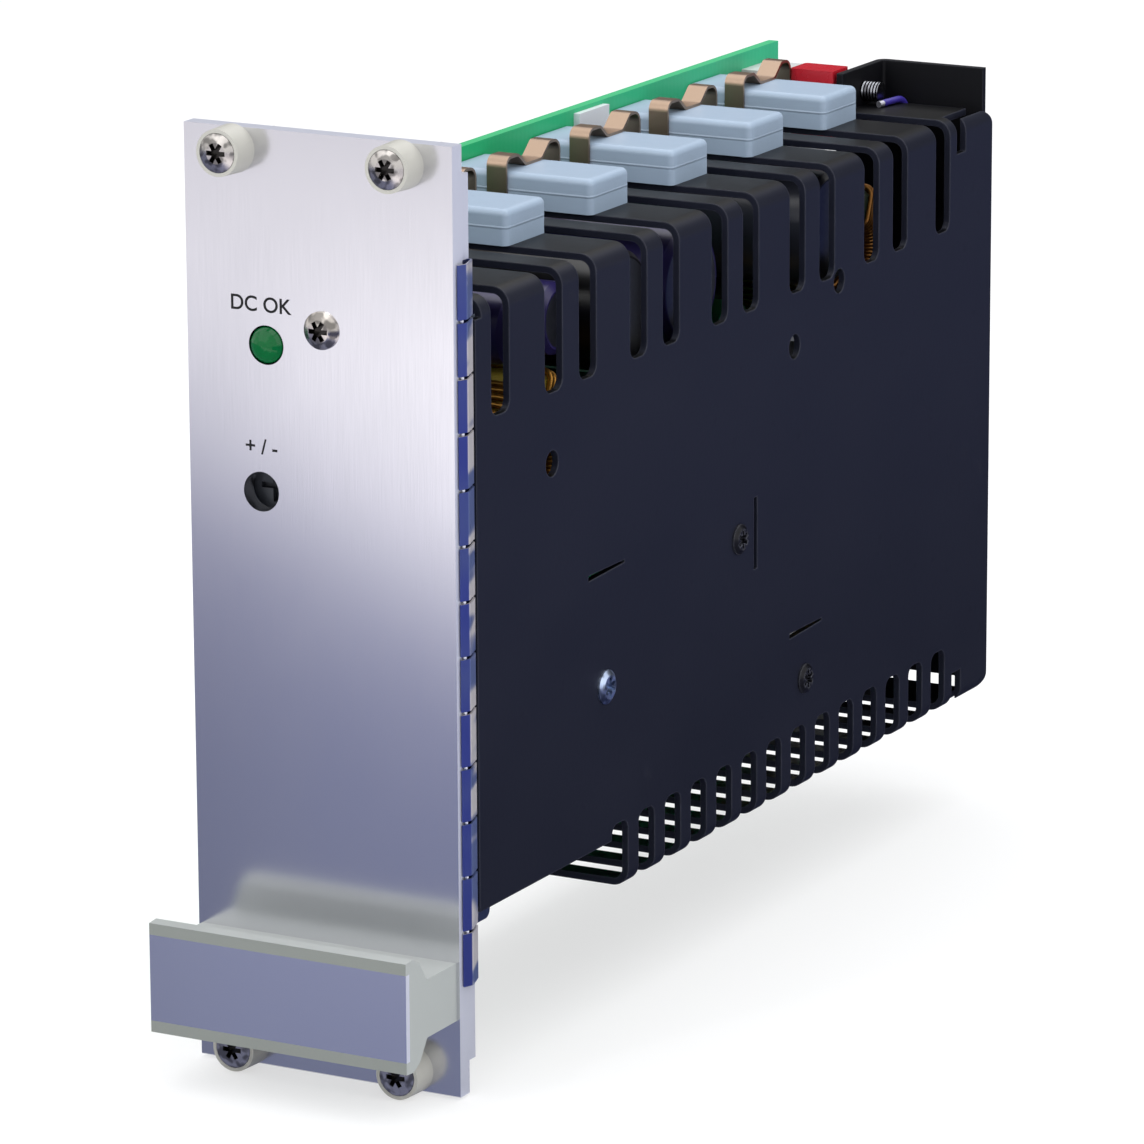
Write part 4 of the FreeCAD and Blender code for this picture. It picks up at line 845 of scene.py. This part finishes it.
@dataclass
class Studio:
    """Camera, floor, cards and lights."""

    camera_place: Place = (0.4292, -0.7238, 0.2194)
    turn: float = 28.51
    tilt: float = 14.31
    roll: float = -0.28
    lens_px: float = 6568.0
    frame_px: float = 1144.0
    sensor_mm: float = 36.0
    floor_z: float = -0.0646
    floor_half: float = 12.0
    floor_glow: float = 0.6
    card_lift: float = 0.5 * MM
    daylight: Colour = (0.95, 0.97, 1.0, 1.0)
    daylight_strength: float = 0.8
    veil_slope: float = 0.541
    veil_edge: tuple[float, float] = (-0.04, 0.004)
    veil_colour: Colour = (0.1, 0.1, 0.14, 1.0)

    def add_camera(self) -> None:
        """Create the camera at the photograph's viewpoint."""
        data = bpy.data.cameras.new("camera")
        data.sensor_width = self.sensor_mm
        data.lens = self.lens_px / self.frame_px * self.sensor_mm
        data.clip_start = 0.01
        data.clip_end = 50.0
        camera = bpy.data.objects.new("camera", data)
        camera.location = self.camera_place
        turn = Matrix.Rotation(math.radians(self.turn), 4, "Z")
        tilt = Matrix.Rotation(math.radians(90.0 - self.tilt), 4, "X")
        roll = Matrix.Rotation(math.radians(self.roll), 4, "Z")
        camera.rotation_euler = (turn @ tilt @ roll).to_euler()
        bpy.context.scene.collection.objects.link(camera)
        bpy.context.scene.camera = camera

    @staticmethod
    def _sheet(tree: FinishTree, corners: Sequence[Place]) -> bpy.types.Object:
        """Add a four-sided sheet that isn't part of the object.

        Args:
            tree: Its finished material, whose name it takes.
            corners: Its four corners.

        Returns:
            The sheet.
        """
        mesh = bpy.data.meshes.new(tree.material.name)
        mesh.from_pydata([tuple(corner) for corner in corners], [], [(0, 1, 2, 3)])
        mesh.materials.append(tree.material)
        sheet = bpy.data.objects.new(tree.material.name, mesh)
        bpy.context.scene.collection.objects.link(sheet)
        return sheet

    @staticmethod
    def _level(x_from: float, x_to: float, y_from: float, y_to: float, z: float) -> list[Place]:
        """Return the corners of a level rectangle."""
        return [(x_from, y_from, z), (x_to, y_from, z), (x_to, y_to, z), (x_from, y_to, z)]

    def add_floor(self) -> None:
        """Lay a pale floor that keeps a faint shadow of the object."""
        tree = FinishTree("floor")
        rays = [tree.node("ShaderNodeLightPath", {}, {}, kind) for kind in SHOWN_RAYS]
        seen = sum(rays[1:], rays[0]).clamp()
        tree.surface(Base_Color=tree.mix(seen, WHITE, darker(WHITE, 1.0 - self.floor_glow)),
                     Emission_Color=tree.mix(seen, BLACK, darker(WHITE, self.floor_glow)),
                     Emission_Strength=1.0, Roughness=0.9, Specular_IOR_Level=0.1)
        half = self.floor_half
        self._sheet(tree, self._level(-half, half, -half, half, self.floor_z))

    def add_world(self) -> None:
        """Set a plain world that shows as white and lights a little less."""
        world = bpy.data.worlds.new("studio")
        world.use_nodes = True
        bpy.context.scene.world = world
        nodes, links = world.node_tree.nodes, world.node_tree.links
        nodes.clear()
        path = nodes.new("ShaderNodeLightPath")
        mixed = nodes.new("ShaderNodeMixShader")
        out = nodes.new("ShaderNodeOutputWorld")
        for place, colour, strength in ((1, self.daylight, self.daylight_strength),
                                        (2, WHITE, 1.0)):
            background = nodes.new("ShaderNodeBackground")
            background.inputs[0].default_value = colour
            background.inputs[1].default_value = strength
            links.new(background.outputs[0], mixed.inputs[place])
        seen = path.outputs[SHOWN_RAYS[0]]
        for kind in SHOWN_RAYS[1:]:
            either = nodes.new("ShaderNodeMath")
            either.operation = "MAXIMUM"
            links.new(seen, either.inputs[0])
            links.new(path.outputs[kind], either.inputs[1])
            seen = either.outputs[0]
        links.new(seen, mixed.inputs[0])
        links.new(mixed.outputs[0], out.inputs[0])

    def _card(self, name: str, corners: Sequence[Place], stops: Sequence[tuple[float, Colour]],
              slant: float = 0.0, veil: float = 0.0) -> None:
        """Stand up one card that only shows as a reflection in gloss and metal.

        Args:
            name: Name of the card.
            corners: Its four corners.
            stops: Colours by the distance in front of the panel in metres.
            slant: Share of X that is added to that distance.
            veil: Share of the light that is lost along the card's left border.
        """
        tree = FinishTree(name)
        share = tree.along(Axis.X) * slant - tree.along(Axis.Y)
        tint = tree.node("ShaderNodeValToRGB", {"stops": stops}, {0: share})
        border = tree.along(Axis.X) - tree.along(Axis.Y) * self.veil_slope
        tint = tree.mix((1.0 - border.step(*self.veil_edge)) * veil, tint, self.veil_colour)
        tree.surface(Base_Color=BLACK, Specular_IOR_Level=0.0, Emission_Color=tint,
                     Emission_Strength=1.0)
        card = self._sheet(tree, corners)
        for ray in ("camera", "diffuse", "shadow", "transmission"):
            setattr(card, f"visible_{ray}", False)

    def add_cards(self) -> None:
        """Lay a lilac card before the panel and dark flags beside and behind."""
        low = self.floor_z + self.card_lift
        lilac = [(0.0, (0.20, 0.22, 0.33, 1.0)), (0.144, (0.25, 0.27, 0.44, 1.0)),
                 (0.171, (1.05, 1.03, 1.15, 1.0)), (0.21, (1.55, 1.51, 1.56, 1.0)),
                 (0.292, (1.40, 1.36, 1.40, 1.0)), (0.345, (1.02, 0.98, 1.03, 1.0)),
                 (0.39, (0.78, 0.76, 0.81, 1.0)), (0.9, (0.64, 0.63, 0.72, 1.0))]
        self._card("front card", self._level(-0.9, 0.12, -1.2, 0.0, low), lilac, 0.7, 0.25)
        upright = [(-1.4, 1.2, low), (1.0, 1.2, low), (1.0, 1.2, 0.75), (-1.4, 1.2, 0.75)]
        for name, colour, corners in (
                ("side flag", (0.10, 0.12, 0.30, 1.0), self._level(0.12, 0.9, -0.6, 1.4, low)),
                ("rear flag", (0.03, 0.035, 0.09, 1.0), self._level(-0.9, 0.12, 0.0, 1.4, low)),
                ("back flag", (0.01, 0.012, 0.02, 1.0), upright)):
            self._card(name, corners, [(0.0, colour), (1.0, colour)])

    @staticmethod
    def _lamp(name: str, place: Place, target: Place, size: float, power: float) -> None:
        """Add one square lamp.

        Args:
            name: Name of the lamp.
            place: Where it stands.
            target: What it points at.
            size: Length of its side in metres.
            power: Watts.
        """
        data = bpy.data.lights.new(name, "AREA")
        data.shape = "SQUARE"
        data.size = size
        data.energy = power
        lamp = bpy.data.objects.new(name, data)
        lamp.location = place
        aim = Vector(target) - Vector(place)
        lamp.rotation_euler = aim.to_track_quat("-Z", "Y").to_euler()
        bpy.context.scene.collection.objects.link(lamp)

    def build(self) -> None:
        """Build the whole studio."""
        self.add_camera()
        self.add_floor()
        self.add_cards()
        self.add_world()
        for lamp in LAMPS:
            self._lamp(*lamp)
        bpy.context.scene.view_settings.view_transform = "Standard"


def numbered(stem: str, count: int) -> list[str]:
    """Return the names of alike solids, numbered from 1."""
    return [f"{stem}_{number}" for number in range(1, count + 1)]


@dataclass
class FrontPanel(Section):
    """Panel, handle, fittings and lettering."""

    front_y: float = -2.5 * MM
    mark_size: float = 2.9 * MM
    marks: tuple[tuple[str, str, float, float], ...] = (
        ("lamp_mark", "DC OK", -8.9 * MM, 40.7 * MM),
        ("trimmer_mark", "+ / -", -9.1 * MM, 21.5 * MM))
    ink_depth: float = 0.01 * MM
    ink_spread: float = 0.035 * MM
    finger_count: int = 13
    # Size and place of the bright dots that paint glints in the finger slits.
    stud_radius: float = 0.26 * MM
    glint_dot_inset: tuple[float, float] = (0.52 * MM, 0.85 * MM)

    def dress_metal(self) -> None:
        """Dress the panel, its springs and its handle."""
        self.dress(BrushedMetal("anodised panel", "E4E4E8", 0.18, (1.0, 1.0, 60.0),
                                matt_sides=0.7, matt_before=0.1 * MM,
                                matt_beyond=(19.5 * MM, 48.7 * MM)), "front_panel")
        # The spring's silver colours on faces turned away are painted reflection.
        self.dress(SpringMetal("contact spring", "434E9A", "C9C4C6", "5E6B98"), "contact_strip")
        self.dress(BrushedMetal("handle insert", "F4F5FB", 0.24, (60.0, 1.0, 1.0), 0.001,
                                matt_sides=0.75), "handle_strip")
        # The handle's front colour is painted shade.
        self.dress(HandleCoat("handle grey", "A4A8A6", 0.42, 0.5, front="80847F"), "pull_handle")

    def dress_fittings(self) -> None:
        """Dress collars, screws, lamp and trimmer."""
        self.dress(Moulding("collar cream", "B6B4AC", 0.4), *numbered("screw_collar", 4))
        self.dress(BrightMetal("captive screw chrome", "CBC6C2", Axis.Y, 1.0 * MM, 9.0 * MM,
                               recess=(-6.45 * MM, -5.6 * MM)), *numbered("captive_screw", 4))
        self.dress(BrightMetal("panel screw nickel", "CFC8C2", Axis.Y, 0.2 * MM, 4.0 * MM,
                               recess=(-3.45 * MM, -2.6 * MM), recess_centre=(0.4 * MM, 38.2 * MM),
                               recess_radius=1.5 * MM), "panel_screw")
        self.dress(ClearPart("green lens", "04602F", 0.08, 0.07), "indicator_lamp")
        self.dress(Moulding("holder black", "1B1C1F", 0.5), "indicator_holder")
        self.dress(Moulding("trimmer blue", "1F2A4A", 0.4), "trimmer_body")
        self.dress(Moulding("rotor grey", "34373E", 0.45), "trimmer_rotor")

    def add_marks(self) -> None:
        """Print the plain words for the lamp and the signs for the trimmer."""
        ink = Moulding("panel ink", "0C0D10", 0.85).make()
        for name, words, x, z in self.marks:
            curve = bpy.data.curves.new(name, "FONT")
            curve.body = words
            curve.size = self.mark_size
            curve.extrude = self.ink_depth
            curve.offset = self.ink_spread
            curve.align_x = "CENTER"
            curve.align_y = "CENTER"
            mesh = plain_mesh(bpy.data.objects.new(name, curve))
            mesh.transform(Matrix.Translation((x, self.front_y - self.ink_depth, z))
                           @ Matrix.Rotation(math.pi / 2, 4, "X"))
            add_piece(name, mesh, ink)

    def add_glint_dots(self) -> None:
        """Put a bright dot in the slit between each two contact fingers: a painted glint."""
        pale = BrushedMetal("painted glint", "F0F1F8", 0.3, EVEN, 0.002, 0.8).make()
        low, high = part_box("contact_strip")
        grow = GrowTree("finger studs")
        radius = grow.named("Radius", "Float", 0.001)
        ball = grow.node("GeometryNodeMeshIcoSphere", {"Radius": radius, "Subdivisions": 2})
        grow.end(grow.on_seeds(ball), pale)
        pitch = (high[2] - low[2]) / self.finger_count
        x, y = high[0] - self.glint_dot_inset[0], low[1] + self.glint_dot_inset[1]
        mesh = grow.run([(x, y, low[2] + pitch * n) for n in range(1, self.finger_count)],
                        {"Radius": self.stud_radius})
        mesh.shade_smooth()
        add_piece("finger_studs", mesh, pale)

    def build(self) -> None:
        """Build and dress the panel."""
        self.dress_metal()
        self.dress_fittings()
        self.add_marks()
        self.add_glint_dots()


@dataclass
class Cover(Section):
    """Slotted cover with the parts that carry and close it."""

    def build(self) -> None:
        """Dress the cover."""
        # The last number darkens the cover's top and bottom plates: painted shade.
        self.dress(SatinPaint("cover black", "171924", "252734", "50525F", 0.34, 0.96),
                   "slotted_cover")
        self.dress(SatinPaint("bracket black", "08080C", "101116", "34353E", 0.4), "rear_bracket")
        self.dress(SatinPaint("screw black", "0C0C10", "24242C", "6A6C78", 0.26),
                   "black_wall_screws")
        self.dress(BrightMetal("wall screw nickel", "C4D4F0", Axis.X, 12.0 * MM, 19.5 * MM,
                               roughness=0.34), "bright_wall_screw")
        self.dress(BrushedMetal("plated sheet", "9AA6BC", 0.32, (1.0, 1.0, 20.0)),
                   "side_angle", "board_bracket", "wall_posts", "connector_spacers")


@dataclass
class ClampedTransistors(Section):
    """Silicone caps on the cover, their clips and the transistors below."""

    count: int = 5

    def build(self) -> None:
        """Dress caps, clips and transistors."""
        low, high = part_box("insulating_cap_1")
        self.dress(Silicone("cap silicone", "9DAFC3", (low[2] + high[2]) / 2),
                   *numbered("insulating_cap", self.count))
        self.dress(BrushedMetal("clip bronze", "A18B79", 0.36, (1.0, 8.0, 8.0), 0.002),
                   *numbered("spring_clip", self.count))
        self.dress(Moulding("transistor black", "17181B"), "power_transistors")


@dataclass
class RingChoke(Section):
    """Ring choke whose turns of wire are real."""

    name: str
    centre: tuple[float, float]
    radii: tuple[float, float]
    turns: int
    wire_colour: Colour
    core_colour: Colour
    layer: float = 0.9 * MM
    fit: float = 0.05 * MM
    loop_corner: float = 1.3 * MM
    sector: float = 140.0
    sector_starts: tuple[float, float] = (20.0, 200.0)

    def _tree(self, material: Material) -> GrowTree:
        """Make the tree that turns one loop of wire into a winding.

        Args:
            material: The wire's material.

        Returns:
            The tree.
        """
        grow = GrowTree(f"{self.name} turns")
        count = grow.named("Turns", "Int", 10)
        width = grow.named("Loop Width", "Float", 0.01)
        depth = grow.named("Loop Depth", "Float", 0.005)
        wire = grow.named("Wire Radius", "Float", 0.0004)
        middle = grow.named("Middle Radius", "Float", 0.01)
        start = grow.named("Start Angle", "Float", 0.0)
        step = grow.named("Angle Step", "Float", 0.1)
        centre = grow.named("Centre", "Vector", (0.0, 0.0, 0.0))
        loop = grow.node("GeometryNodeCurvePrimitiveQuadrilateral",
                         {"Width": width, "Height": depth})
        soft = grow.node("GeometryNodeFilletCurve",
                         {"Curve": loop, "Count": 4, "Radius": self.loop_corner},
                         {"mode": "POLY"})
        profile = grow.node("GeometryNodeCurvePrimitiveCircle", {"Resolution": 8, "Radius": wire})
        tube = grow.node("GeometryNodeCurveToMesh", {"Curve": soft, "Profile Curve": profile})
        reach = grow.node("ShaderNodeCombineXYZ", {"Z": middle})
        stood = grow.node("GeometryNodeTransform",
                          {"Geometry": tube, "Translation": reach,
                           "Rotation": (math.pi / 2, 0.0, 0.0)})
        line = grow.node("GeometryNodeMeshLine", {"Count": count, "Offset": (0.0, 0.0, 0.0)})
        index = grow.node("GeometryNodeInputIndex", {})
        swing = grow.node("ShaderNodeMath", {0: index, 1: step, 2: start},
                          {"operation": "MULTIPLY_ADD"})
        turn = grow.node("ShaderNodeCombineXYZ", {"X": swing})
        copies = grow.node("GeometryNodeInstanceOnPoints",
                           {"Points": line, "Instance": stood, "Rotation": turn})
        placed = grow.node("GeometryNodeTransform", {"Geometry": copies, "Translation": centre})
        grow.end(placed, material)
        return grow

    def build(self) -> None:
        """Build the turns and dress core and base."""
        low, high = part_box(f"{self.name}_core")
        material = Lacquered(f"{self.name} wire", self.wire_colour, 0.85, 0.28).make()
        grow = self._tree(material)
        wire = self.layer / 2
        gap = self.fit + wire
        inner, outer = self.radii
        step = math.radians(self.sector) / self.turns
        whole = bmesh.new()
        for start in self.sector_starts:
            mesh = grow.run([(0.0, 0.0, 0.0)], {
                "Turns": self.turns, "Loop Width": high[0] - low[0] + 2 * gap,
                "Loop Depth": outer - inner + 2 * gap, "Wire Radius": wire,
                "Middle Radius": (inner + outer) / 2, "Angle Step": -step,
                "Start Angle": -math.radians(start) - step / 2,
                "Centre": ((low[0] + high[0]) / 2, self.centre[0], self.centre[1])})
            whole.from_mesh(mesh)
            bpy.data.meshes.remove(mesh)
        bmesh.ops.recalc_face_normals(whole, faces=whole.faces)
        turns = bpy.data.meshes.new(f"{self.name}_turns")
        whole.to_mesh(turns)
        whole.free()
        turns.shade_smooth()
        piece = add_piece(f"{self.name}_turns", turns, material)
        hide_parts(f"{self.name}_winding")
        self.dress(Moulding(f"{self.name} core", self.core_colour, 0.4), f"{self.name}_core")
        self.dress(Moulding(f"{self.name} base", "202226"), f"{self.name}_base")


# Bare can ends, set darker than bare aluminium: painted shade inside the cover.
BARE_END_IN_PAINTED_SHADE = "8B8E94"
CANS = (CanSleeve("output capacitors", BARE_END_IN_PAINTED_SHADE, 5.0, ((24.5, 34.6), (35.8, 33.9)),
                  ((20.0, "2B2458"), (30.5, "2B2458"))),
        CanSleeve("filter capacitors", BARE_END_IN_PAINTED_SHADE, 8.5, ((53.2, 31.6), (73.2, 31.6), (117.2, 31.6)),
                  ((44.0, "141418"), (63.5, "2B2558"), (95.0, "2A2C36"))),
        CanSleeve("bulk capacitors", BARE_END_IN_PAINTED_SHADE, 11.0, ((57.0, 5.0), (57.0, -31.0)),
                  ((46.0, "17171C"), (60.0, "17171C"))))

# Y and Z of lead rows in millimetres: both chokes, transformer, connector, rectifier,
# line capacitor, fuse and transistors.
LEAD_GRIDS: tuple[tuple[Sequence[float], Sequence[float]], ...] = (
    ((23.0, 38.0), (6.0, 23.0)),
    ((129.0, 142.0), (18.0, 30.0)),
    ([86.0 + 5.2 * n for n in range(6)], (-10.5, 12.5)),
    ((156.5, 160.0), [(n - 7) * 5.08 for n in range(15)]),
    ((126.0,), [3.0 + 5.0 * (n - 1.5) for n in range(4)]),
    ((123.5, 145.5), (-14.0,)),
    ((128.0, 130.0, 144.0, 146.0), (-32.0,)),
    ([45.05 + 24.15 * n + 2.54 * lead for n in range(5) for lead in (-1.56, -0.56, 0.44)],
     (45.4,)))


@dataclass
class BoardAssembly(Section):
    """Main board with what stands on it and its solder side."""

    joint_radius: float = 0.85 * MM
    joint_height: float = 0.7 * MM
    joint_tip: float = 0.25 * MM
    can_lead_mm: float = 3.75
    chip_columns: tuple[float, ...] = tuple(12.0 + 3.1 * n for n in range(9))
    chip_rows: tuple[float, ...] = tuple(-38.0 + 5.2 * n for n in range(5))

    def dress_parts(self) -> None:
        """Dress the board and the parts on it."""
        self.dress(BoardLaminate("board green", "12A35C", "38B482", "1C8A52", "3AA36C"),
                   "main_board")
        self.dress(Moulding("chip white", "DCDFE4", 0.35), "white_chip")
        for cans in CANS:
            self.dress(cans, cans.name.replace(" ", "_"))
        self.dress(Moulding("ferrite", "3A3B40", 0.38, 0.6), "transformer_core")
        self.dress(Lacquered("winding tape", "C9A63A", 0.0, 0.28, 6.0), "transformer_winding")
        self.dress(Moulding("bobbin black", "1D1E22"), "transformer_foot")
        self.dress(Lacquered("line capacitor", "C7A83C", 0.0, 0.3), "line_capacitor")
        self.dress(Moulding("rectifier black", "1A1B1F"), "bridge_rectifier")
        self.dress(BrushedMetal("tinned bronze", "CDBE9A", 0.25, (1.0, 1.0, 6.0), 0.002),
                   "fuse_clips", "connector_blades")
        self.dress(FuseBody("fuse", "CFD6D6", "C9C4B8", 137.0 * MM, 5.0 * MM), "mains_fuse")

    def lead_points(self) -> list[Place]:
        """Return the places on the solder side where leads come through."""
        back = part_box("main_board")[0][0]
        places = [(y, z + side * self.can_lead_mm) for cans in CANS for y, z in cans.centres
                  for side in (-1.0, 1.0)]
        places += [(y, z) for ys, zs in LEAD_GRIDS for y in ys for z in zs]
        places += [(y, z) for z in self.chip_rows for y in self.chip_columns]
        return [(back, y * MM, z * MM) for y, z in places]

    def add_joints(self) -> None:
        """Put a solder joint at every lead, grown from one cone."""
        solder = BrushedMetal("solder", "C6CAD0", 0.22, EVEN, 0.004).make()
        grow = GrowTree("solder joints")
        radius = grow.named("Radius", "Float", 0.001)
        height = grow.named("Height", "Float", 0.001)
        cone = grow.node("GeometryNodeMeshCone",
                         {"Vertices": 10, "Side Segments": 2, "Radius Bottom": radius,
                          "Radius Top": self.joint_tip, "Depth": height})
        copies = grow.on_seeds(cone, (0.0, -math.pi / 2, 0.0))
        varied = grow.node("FunctionNodeRandomValue", {2: 0.8, 3: 1.15, "Seed": 7},
                           {"data_type": "FLOAT"}, 1)
        grow.end(grow.node("GeometryNodeScaleInstances", {"Instances": copies, "Scale": varied}),
                 solder)
        mesh = grow.run(self.lead_points(), {"Radius": self.joint_radius,
                                             "Height": self.joint_height})
        mesh.shade_smooth()
        add_piece("solder_joints", mesh, solder)

    def build(self) -> None:
        """Build and dress the board."""
        self.dress_parts()
        self.add_joints()


@dataclass
class RearEnd(Section):
    """Connector, screws, red capacitor and the loose wire."""

    bare_length: float = 1.0 * MM

    def build(self) -> None:
        """Dress the rear parts."""
        self.dress(Moulding("connector pale", "C9CBCB", 0.4), "rear_connector")
        self.dress(BrightMetal("connector screw", "8E9096", Axis.X, -7.0 * MM, 8.0 * MM, 0.5),
                   "connector_screws")
        self.dress(Lacquered("film red", "C4202E", 0.0, 0.22), "film_capacitor")
        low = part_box("earth_wire")[0]
        self.dress(WireCover("wire violet", "35298A", low[1] + self.bare_length), "earth_wire")


def main() -> None:
    """Build the dressed power supply."""
    logging.basicConfig(level=logging.INFO, format="%(message)s")
    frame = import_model()
    Studio().build()
    FrontPanel(frame).build()
    Cover(frame).build()
    ClampedTransistors(frame).build()
    BoardAssembly(frame).build()
    RingChoke(frame, "output_choke", (30.5 * MM, 14.6 * MM), (6.5 * MM, 12.5 * MM), 24,
              "B9853A", "B8A23A").build()
    RingChoke(frame, "mains_choke", (135.5 * MM, 24.0 * MM), (5.0 * MM, 10.0 * MM), 20,
              "9C6A34", "3A4A3C").build()
    RearEnd(frame).build()


if __name__ == "__main__":
    main()
